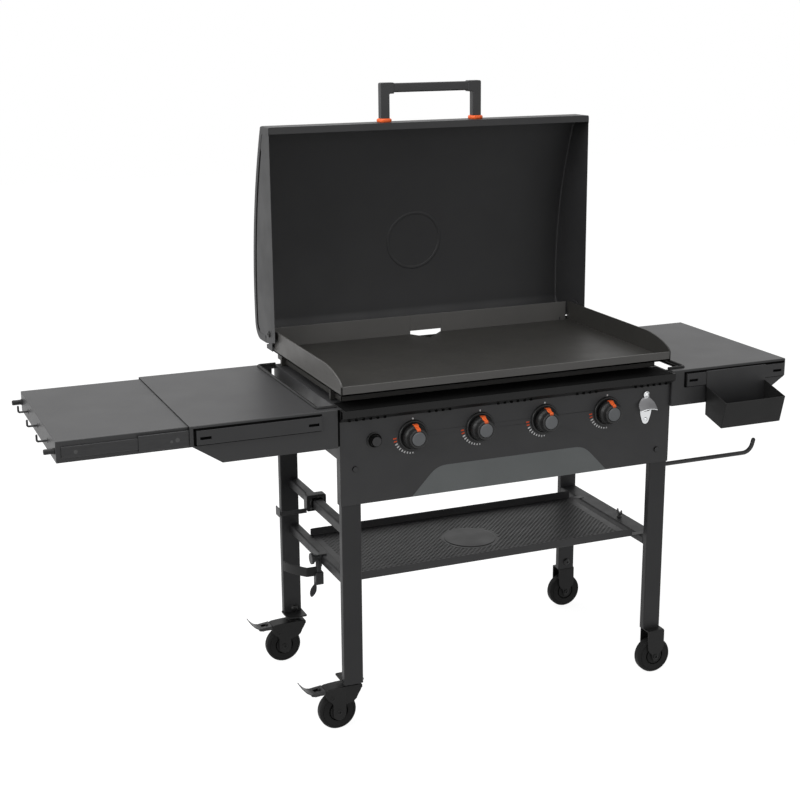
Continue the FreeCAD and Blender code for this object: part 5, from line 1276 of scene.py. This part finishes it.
shape = bmesh.new()
turned(shape, BOSS, (OPENER_X, 0, 791), steps=36)
plate = [(-17.0, 749.0), (-15.6, 738.0), (-11.4, 724.0)] + arc_points((0, 721.5), 9.6, 200, 340, 12)
plate += [(11.4, 724.0), (15.6, 738.0), (17.0, 749.0), (9.0, 746.4), (0.0, 745.4), (-9.0, 746.4)]
pushed(shape, [(OPENER_X + x, z) for x, z in plate], "Y", -1.5, -4.6)
turned(shape, OPENER_SCREW, (OPENER_X, 0, 724.5), steps=28)
block(shape, (OPENER_X - 5, -4.0, 746), (OPENER_X + 5, -1.5, 790))
lip = [(OPENER_X + 25 * k / 8, -24.6 + 2.5 * (k / 8) ** 2, 756.3 - 5 * (k / 8) ** 2) for k in range(-8, 9)]
bar(shape, lip, 1.5, steps=10, domed=True)
settle(shape, "opener_plates", CHROME, slot="chrome_plate", radius=0.5)

# %% [markdown]
# On the left bars sit the fittings that hold a gas tank. The hanger is a small housing with a
# shallow recess and two bent hooks in its front, a black block of painted shade where it sits
# on the bar, and an arm that reaches out past the leg. The clamp hangs on the lower bar by a
# lip, with a thumb wheel, a post, a block and a curved strap.

# %% Tank hanger and its arm
HANGER = ((-450.0, 290.0, 491.5), (-396.0, 314.0, 535.0))
HANGER_RIM, HANGER_RECESS = 2.5, 3.4
HANGER_RIVET = ((0.0, 0.6), (2.4, 0.8), (3.4, 1.6), (3.4, 4.4), (0.0, 4.4))
ARM_LOW, ARM_REACH = 487.6, -527.0

shape = bmesh.new()
(x0, y0, z0), (x1, y1, z1) = HANGER
outer = rounded((x0, z0), (x1, z1), 5.0)
inner = rounded((x0 + HANGER_RIM, z0 + HANGER_RIM), (x1 - HANGER_RIM, z1 - HANGER_RIM), 2.6)
steps = ((outer, y1), (outer, y0), (inner, y0), (inner, y0 + HANGER_RECESS))
rings = [[shape.verts.new((x, y, z)) for x, z in outline] for outline, y in steps]
bridge(shape, rings)
shape.faces.new(rings[0])
shape.faces.new(list(reversed(rings[-1])))
settle(shape, "hanger_housing", BLACK_COAT, ["tank_hanger"], radius=0.5)

shape = bmesh.new()
for x, z, start, end in ((x0 + 22, z0 + 22, 200, 95), (x1 - 12, z1 - 15, 215, 60)):
    path = [(px, y0 + 2.4, pz) for px, pz in arc_points((x, z), 11.0, start, end, 12)]
    bar(shape, path, 2.2, steps=10, domed=True)
turned(shape, HANGER_RIVET, (x0 + 14, y0, z0 + 6), steps=20)
settle(shape, "hanger_hooks", DARK_SCREW, slot="fastener_steel")

# A black block is painted shade under the housing, where it sits on the bar.
blocks("hanger_painted_shade", SHADE_BLACK, [
    ((-LEG_IN - BAR_WIDE - 0.5, y0 - 9, BAR_HIGH + 4), (0.5 - LEG_IN, y0 + 1, BAR_HIGH + BAR_TALL + 0.5))],
       slot="dark_plastic")

shape = bmesh.new()
arm_side = [(y0 + 3, ARM_LOW), (y0 + 6.5, ARM_LOW + 11), (y0 + 10, ARM_LOW + 11), (y0 + 10, ARM_LOW)]
pushed(shape, arm_side, "X", ARM_REACH + 2, x0 + 1)
tip = [(y0 - 9, ARM_LOW + 7), (y0 - 2, ARM_LOW), (y0 + 26, ARM_LOW), (y0 + 26, ARM_LOW + 24), (y0 - 9, ARM_LOW + 24)]
pushed(shape, tip, "X", ARM_REACH, ARM_REACH + 2.5)
settle(shape, "hanger_arm", BLACK_COAT, ["tank_hook"], radius=0.6)

# %% Tank clamp
POST_X, CLAMP_Y = -441.5, 232.0
STRAP_LOW, STRAP_HIGH, STRAP_SHEET = 335.0, 360.0, 4.0
CLAMP_HALF, BLOCK_HALF, BLOCK_LOW, BLOCK_TOP = 10.0, 11.0, 311.0, 344.0
CLAMP_LIP = ((-435, 361), (-440, 361), (-440, 394.3), (-421, 394.3), (-421, 391.5), (-435, 391.5))
POST = ((0.0, 343.0), (7.5, 343.0), (7.5, 377.0), (6.6, 378.0), (0.0, 378.0))
THUMB_Z, THUMB_RADIUS, GRIPS, GRIP_DEEP = 383.0, 15.0, 18, 0.7
THUMB_HUB = ((0.0, -456.2), (10.0, -456.2), (10.0, -449.0), (8.0, -448.0), (8.0, -440.0), (0.0, -440.0))

shape = bmesh.new()
pushed(shape, CLAMP_LIP, "Y", CLAMP_Y - CLAMP_HALF, CLAMP_Y + CLAMP_HALF)
pushed(shape, rounded((POST_X - BLOCK_HALF, CLAMP_Y - CLAMP_HALF), (POST_X + BLOCK_HALF, CLAMP_Y + CLAMP_HALF), 3.0),
       "Z", BLOCK_LOW, BLOCK_TOP)
turned(shape, POST, (POST_X, CLAMP_Y, 0), axis="Z", steps=28)
settle(shape, "clamp_body", BLACK_COAT, ["tank_clamp"], radius=0.7)

shape = bmesh.new()
outer = [(POST_X, CLAMP_Y), (-471, CLAMP_Y), (-474, CLAMP_Y + 1.0)] + [
    (-512 + 38 * (1 - t) ** 1.5, CLAMP_Y + 1.0 + 69 * t) for t in (i / 10 for i in range(1, 11))]
pushed(shape, outer + inset(outer, STRAP_SHEET)[::-1], "Z", STRAP_LOW, STRAP_HIGH)
settle(shape, "clamp_strap", STRAP_COAT, radius=0.6, angle=30)

shape = bmesh.new()
rim = [(THUMB_RADIUS - GRIP_DEEP * (k % 2), math.tau * k / (GRIPS * 2)) for k in range(GRIPS * 2)]
pushed(shape, [(CLAMP_Y + r * math.cos(t), THUMB_Z + r * math.sin(t)) for r, t in rim], "X", -463, -456)
turned(shape, THUMB_HUB, (0, CLAMP_Y, THUMB_Z), axis="X", steps=24)
settle(shape, "clamp_thumb_wheel", BLACK_COAT, slot="fastener_steel", radius=0.5)

# %% [markdown]
# Under the block hangs a leaf-shaped paddle that turns the post. Its outline is a leaf, and
# its faces swell a little towards the middle.

# %% Clamp paddle
LEAF = ((-0.6, 7), (3.6, 7), (4.4, -4), (4.6, -12), (3.4, -20), (-0.4, -27), (-5.6, -32.6), (-9.6, -34.6),
        (-12.8, -32.4), (-14.2, -26), (-13.6, -19), (-10.6, -11), (-5.6, -4.4), (-1.4, -0.6))
shape = bmesh.new()
leaf = [(POST_X - BLOCK_HALF + u, BLOCK_LOW + w) for u, w in LEAF]
middle_x, middle_z = POST_X - 15.5, 291.0
edges = []
for side in (-1, 1):
    edge = [shape.verts.new((x, CLAMP_Y + side * 1.6, z)) for x, z in leaf]
    crown = [shape.verts.new((middle_x + 0.55 * (x - middle_x), CLAMP_Y + side * 2.5, middle_z + 0.7 * (z - middle_z)))
             for x, z in leaf]
    bridge(shape, (edge, crown))
    shape.faces.new(crown)
    edges.append(edge)
bridge(shape, edges)
settle(shape, "clamp_paddle_leaf", BLACK_COAT, ["clamp_paddle"], body="paddle", radius=0.3)

# %% [markdown]
# Screws hold the panel, bolts hold the hood and the casters, and a wing nut holds the tray.
# Heads are small dark turnings, so that they barely show, and the larger ones have a hollow.

# %% Bolts and screws
HINGE_BOLT = ((0.0, 2.6), (2.4, 2.6), (2.8, 4.4), (4.2, 4.6), (6.6, 4.2), (8.4, 3.0), (9.0, 1.6), (9.0, 0.3),
              (0.0, 0.3))
HINGE_PIN = ((0.0, 0.0), (5.0, 0.0), (5.0, 8.0), (0.0, 8.0))
LEG_DISC = ((0.0, 0.6), (6.6, 0.6), (6.6, -1.0), (0.0, -1.0))
PAD_BOLT = ((0.0, 3.6), (3.4, 3.6), (3.9, 5.8), (6.2, 5.7), (8.6, 4.2), (9.8, 2.0), (10.0, 0.0), (0.0, 0.0))
SCREW_SIDE = ((0.0, -1.5), (7.2, -1.5), (7.2, -4.4), (6.8, -4.9), (0.0, -4.9))
SCREW_FACE = ((0.0, -4.9), (6.6, -4.9), (6.6, -5.2), (0.0, -5.4))
PANEL_SCREWS = [(-424, 0, 691), (425, 0, 637)]
NUT_X, NUT_Y, WING_SPAN = 434.35, 185.0, (432.8, 435.9)
NUT = ((0.0, 386.0), (7.0, 386.0), (7.0, 389.0), (5.0, 391.0), (5.0, 397.5), (3.6, 398.5), (0.0, 398.5))
WING = ((3, 391), (9, 393), (13, 401), (12, 407.5), (8.5, 408), (5, 401), (3, 397))

shape = bmesh.new()
for sign in (-1, 1):
    for profile, x, y, z, steps in ((HINGE_BOLT, HOOD_HALF, HINGE.y, HINGE.z, 32),
                                    (HINGE_PIN, 459, HINGE.y, HINGE.z, 24), (LEG_DISC, LEG_OUT, 14, 730, 28)):
        turned(shape, [(r, sign * out) for r, out in profile], (sign * x, y, z), axis="X", steps=steps)
for x, z in ((-430, 143), (434.35, 147)):
    turned(shape, [(r, -out) for r, out in PAD_BOLT], (x, REAR_LEG, z), steps=32)
settle(shape, "bolt_heads", KNOB_BLACK, ["frame_bolts"], slot="fastener_steel")
# The panel screws' sides are black as painted shade round their heads.
spun("panel_screw_sides", SHADE_BLACK, SCREW_SIDE, PANEL_SCREWS, slot="fastener_steel", steps=32)
spun("panel_screw_faces", BLACK_COAT, SCREW_FACE, PANEL_SCREWS, slot="fastener_steel", steps=32)

shape = bmesh.new()
turned(shape, NUT, (NUT_X, NUT_Y, 0), axis="Z", steps=24)
for side in (-1, 1):
    pushed(shape, [(NUT_Y + side * out, z) for out, z in WING], "X", *WING_SPAN)
settle(shape, "tray_wing_nut", DARK_SCREW, slot="fastener_steel", radius=0.5)

# %% [markdown]
# The plate is welded from sheet. Its left wall, lip and rear wall face the light and are
# painted lighter to stand for it, and its floor and right wall are darker. The walls' fronts
# curve down to the lip, and under the plate a skirt is set back on all sides, beside four
# square feet.

# %% Griddle plate
PLATE_HALF, PLATE_FRONT, PLATE_BACK = 457.0, -3.0, 545.0
PLATE_LOW, PLATE_FLOOR, LIP_TOP, WALL_TOP, CURVE_START = 875.0, 880.0, 898.4, 933.0, 121.0
PLATE_WALL, REAR_HALF, GREASE_HALF, GREASE_TOP = 4.0, 446.0, 47.0, 889.0
SKIRT_HALF, SKIRT_FRONT, SKIRT_BACK, SKIRT_LOW = 440.0, 45.0, 534.0, 850.0
FOOT_WIDE, FOOT_DEEP, FOOT_LOW = 13.4, 10.0, 845.6
FOOT_X, FOOT_Y = (-452.0, 438.6), (86.0, 464.0)
RAIL_EDGE, RAIL_CREST, VENT_Z = -23.4, 844.0, 814.4

CURVE_POWER = 2 / 1.65
wall_line = [(CURVE_START - (CURVE_START - PLATE_FRONT) * math.cos(turn) ** CURVE_POWER,
              LIP_TOP + (WALL_TOP - LIP_TOP) * math.sin(turn) ** CURVE_POWER)
             for turn in (math.radians(90 * i / 24) for i in range(25))]
wall_line += [(PLATE_BACK, WALL_TOP), (PLATE_BACK, PLATE_LOW), (PLATE_FRONT, PLATE_LOW)]


def welded(name, shape, material, stands_for=()):
    """Settle a piece that is made of several overlapping plates."""
    bmesh.ops.recalc_face_normals(shape, faces=shape.faces)
    settle(shape, name, material, stands_for, body="griddle", slot="plate_steel", radius=0.7, clean=False)


shape = bmesh.new()
bed = [(-PLATE_HALF, PLATE_FRONT), (PLATE_HALF, PLATE_FRONT), (PLATE_HALF, PLATE_BACK), (GREASE_HALF, PLATE_BACK),
       (-12.0, PLATE_BACK - 62.0), (-GREASE_HALF, PLATE_BACK), (-PLATE_HALF, PLATE_BACK)]
pushed(shape, bed, "Z", PLATE_LOW, PLATE_FLOOR)
pushed(shape, wall_line, "X", PLATE_HALF - PLATE_WALL, PLATE_HALF)
for sign in (-1, 1):
    near, far = sorted((sign * SKIRT_HALF, sign * (SKIRT_HALF - 3)))
    block(shape, (near, SKIRT_FRONT, SKIRT_LOW), (far, SKIRT_BACK, PLATE_LOW + 1))
for y in (SKIRT_FRONT, SKIRT_BACK - 3):
    block(shape, (-SKIRT_HALF, y, SKIRT_LOW), (SKIRT_HALF, y + 3, PLATE_LOW + 1))
welded("plate_bed", shape, SEASONED, ["griddle_plate"])

# The left wall, lip and rear wall are painted lighter, as the light falling on them.
shape = bmesh.new()
pushed(shape, wall_line, "X", -PLATE_HALF, PLATE_WALL - PLATE_HALF)
block(shape, (-PLATE_HALF, PLATE_FRONT, PLATE_LOW), (PLATE_HALF, PLATE_FRONT + PLATE_WALL, LIP_TOP))
for near, far, low in ((-REAR_HALF, -GREASE_HALF, PLATE_LOW), (-GREASE_HALF, GREASE_HALF, GREASE_TOP),
                       (GREASE_HALF, REAR_HALF, PLATE_LOW)):
    block(shape, (near, PLATE_BACK - PLATE_WALL, low), (far, PLATE_BACK, WALL_TOP))
welded("plate_walls", shape, LIT_WALL_PAINT)

blocks("plate_feet", SEASONED,
       [((near, y, FOOT_LOW), (near + FOOT_WIDE, y + FOOT_DEEP, PLATE_LOW)) for near in FOOT_X for y in FOOT_Y],
       body="griddle", slot="plate_steel", stands_for=["griddle_feet"], radius=0.6)

# %% [markdown]
# A slotted rail stands off each front apron on its folded ends, and the caddy bin hooks over
# the right one. The bin is one folded sheet with a floor that falls to the front. Dark strips
# on the apron stand for the deep shade round the rails and behind their slots.

# %% Accessory rails and the caddy bin
RAIL_Y, RAIL_LOW, RAIL_TOP = -16.5, 802.0, 836.5
RAIL_SPANS = {"left": (-814.5, -511.0), "right": (504.0, 811.0)}
RAIL_SLOTS = {"left": ((-807.0, -780.0), (-544.0, -518.0)), "right": ((509.6, 536.4), (774.0, 801.0))}
SLOT_LOW, SLOT_TOP = 814.2, 821.0
RAIL_FOOT = -10.1
SHADE_BACK, SHADE_FRONT = -10.6, -9.9

for side, (start, stop) in RAIL_SPANS.items():
    marks = [start] + [x for pair in RAIL_SLOTS[side] for x in pair] + [stop]
    below, level, above = (RAIL_LOW, SLOT_LOW), (SLOT_LOW, SLOT_TOP), (SLOT_TOP, RAIL_TOP)
    skins = []
    for i in range(len(marks) - 1):
        for low, high in ((below, above) if i in (1, 3) else (below, level, above)):
            skins += strips(marks[i], marks[i + 1], (RAIL_Y, low), (RAIL_Y, high))
    for x in (start, stop):
        for low, high in (below, level, above):
            skins.append([(x, RAIL_Y, low), (x, RAIL_FOOT, low), (x, RAIL_FOOT, high), (x, RAIL_Y, high)])
    folded(rolled(skins, (0, -1, 0), bend=1.2, steps=3), side + "_rail_sheet", BLACK_COAT,
           ["accessory_rails"] if side == "left" else (), thick=2.2, edge=0.3)
    shades = [(start - 3.5, stop, RAIL_LOW - 3, RAIL_LOW + 1), (start - 6.5, stop + 2, RAIL_TOP - 1, RAIL_TOP + 4.4),
              (start - 6.5, start + 1, RAIL_LOW - 2, RAIL_TOP + 2)]
    shades += [(near - 3, far + 3, SLOT_LOW - 3, SLOT_TOP + 3) for near, far in RAIL_SLOTS[side]]
    blocks(side + "_rail_shade", SHADE_BLACK,
           [((near, SHADE_BACK, low), (far, SHADE_FRONT, high)) for near, far, low, high in shades], clean=False)

BIN_LEFT, BIN_RIGHT, BIN_BACK, BIN_LOW = 563.0, 748.0, -16.8, 719.5
BIN_SIDE = ((BIN_BACK, BIN_LOW), (BIN_BACK, 796.5), (-109.0, 772.5), (-91.0, 700.5))
BACK_Y, HOOK_TOP, HOOK_BACK, HOOK_END = BIN_BACK - 1.6, 838.3, -12.2, 827.0
panels = strips(BIN_LEFT, BIN_RIGHT, BIN_SIDE[2], BIN_SIDE[3], BIN_SIDE[0])
panels += [[(x, *pair) for pair in BIN_SIDE] for x in (BIN_LEFT, BIN_RIGHT)]
folded(rolled(panels, (0, -1, 0), bend=1.4), "bin_tub_sheet", BIN_COAT, ["caddy_bin"], body="bin", thick=1.4)
panels = strips(BIN_LEFT, BIN_RIGHT, (BACK_Y, BIN_LOW), (BACK_Y, HOOK_TOP), (HOOK_BACK, HOOK_TOP),
                (HOOK_BACK, HOOK_END))
folded(rolled(panels, (0, -1, 0), bend=1.0, steps=3), "bin_back_sheet", BLACK_COAT, body="bin", thick=1.4)

# %% [markdown]
# A thin black sheet on the front rail is painted shade under the plate, and black discs are
# painted shade in the holes of its vents.
# Between the left apron and the panel a black strip is painted shade in the deep joint, and
# both aprons are folded back beside the panel. The bottom tray's walls lap on to the left bar.

# %% Joints beside the panel
VENTS = ((-395, 6), (-205, 4), (0, 6), (205, 4), (395, 6))
VENT_PITCH, VENT_Y = 18.3, -12.0
VENT = ((0.0, VENT_Z), (3.6, VENT_Z), (3.6, VENT_Z + 3), (0.0, VENT_Z + 3))
JOINT_LOW = 752.4
LAP_SHEET = 1.4

blocks("plate_shade", SHADE_BLACK, [((-454, RAIL_EDGE, RAIL_CREST + 0.3), (454, 60.0, RAIL_CREST + 0.9))])
spun("vent_shades", SHADE_BLACK, VENT,
     [(middle + VENT_PITCH * (k - (count - 1) / 2), VENT_Y, 0) for middle, count in VENTS for k in range(count)],
     axis="Z", steps=20, clean=False)
blocks("left_panel_painted_shade", SHADE_BLACK, [((-469.0, -2.0, JOINT_LOW + 0.1), (-461.6, -0.6, 845.0))])
blocks("apron_returns", BLACK_COAT,
       [((459.9, -9.4, JOINT_LOW), (462.6, 20.0, 845.0)), ((-472.0, -9.4, JOINT_LOW), (-469.4, 20.0, 845.8))])
blocks("tray_corner_laps", TRAY_COAT,
       [((-LEG_IN - 0.4, y, TRAY_LOW), (TRAY_LIP_LEFT + 0.6, y + LAP_SHEET, TRAY_LIP - 0.6))
        for y in (TRAY_FRONT, TRAY_BACK - LAP_SHEET)], radius=0.4)
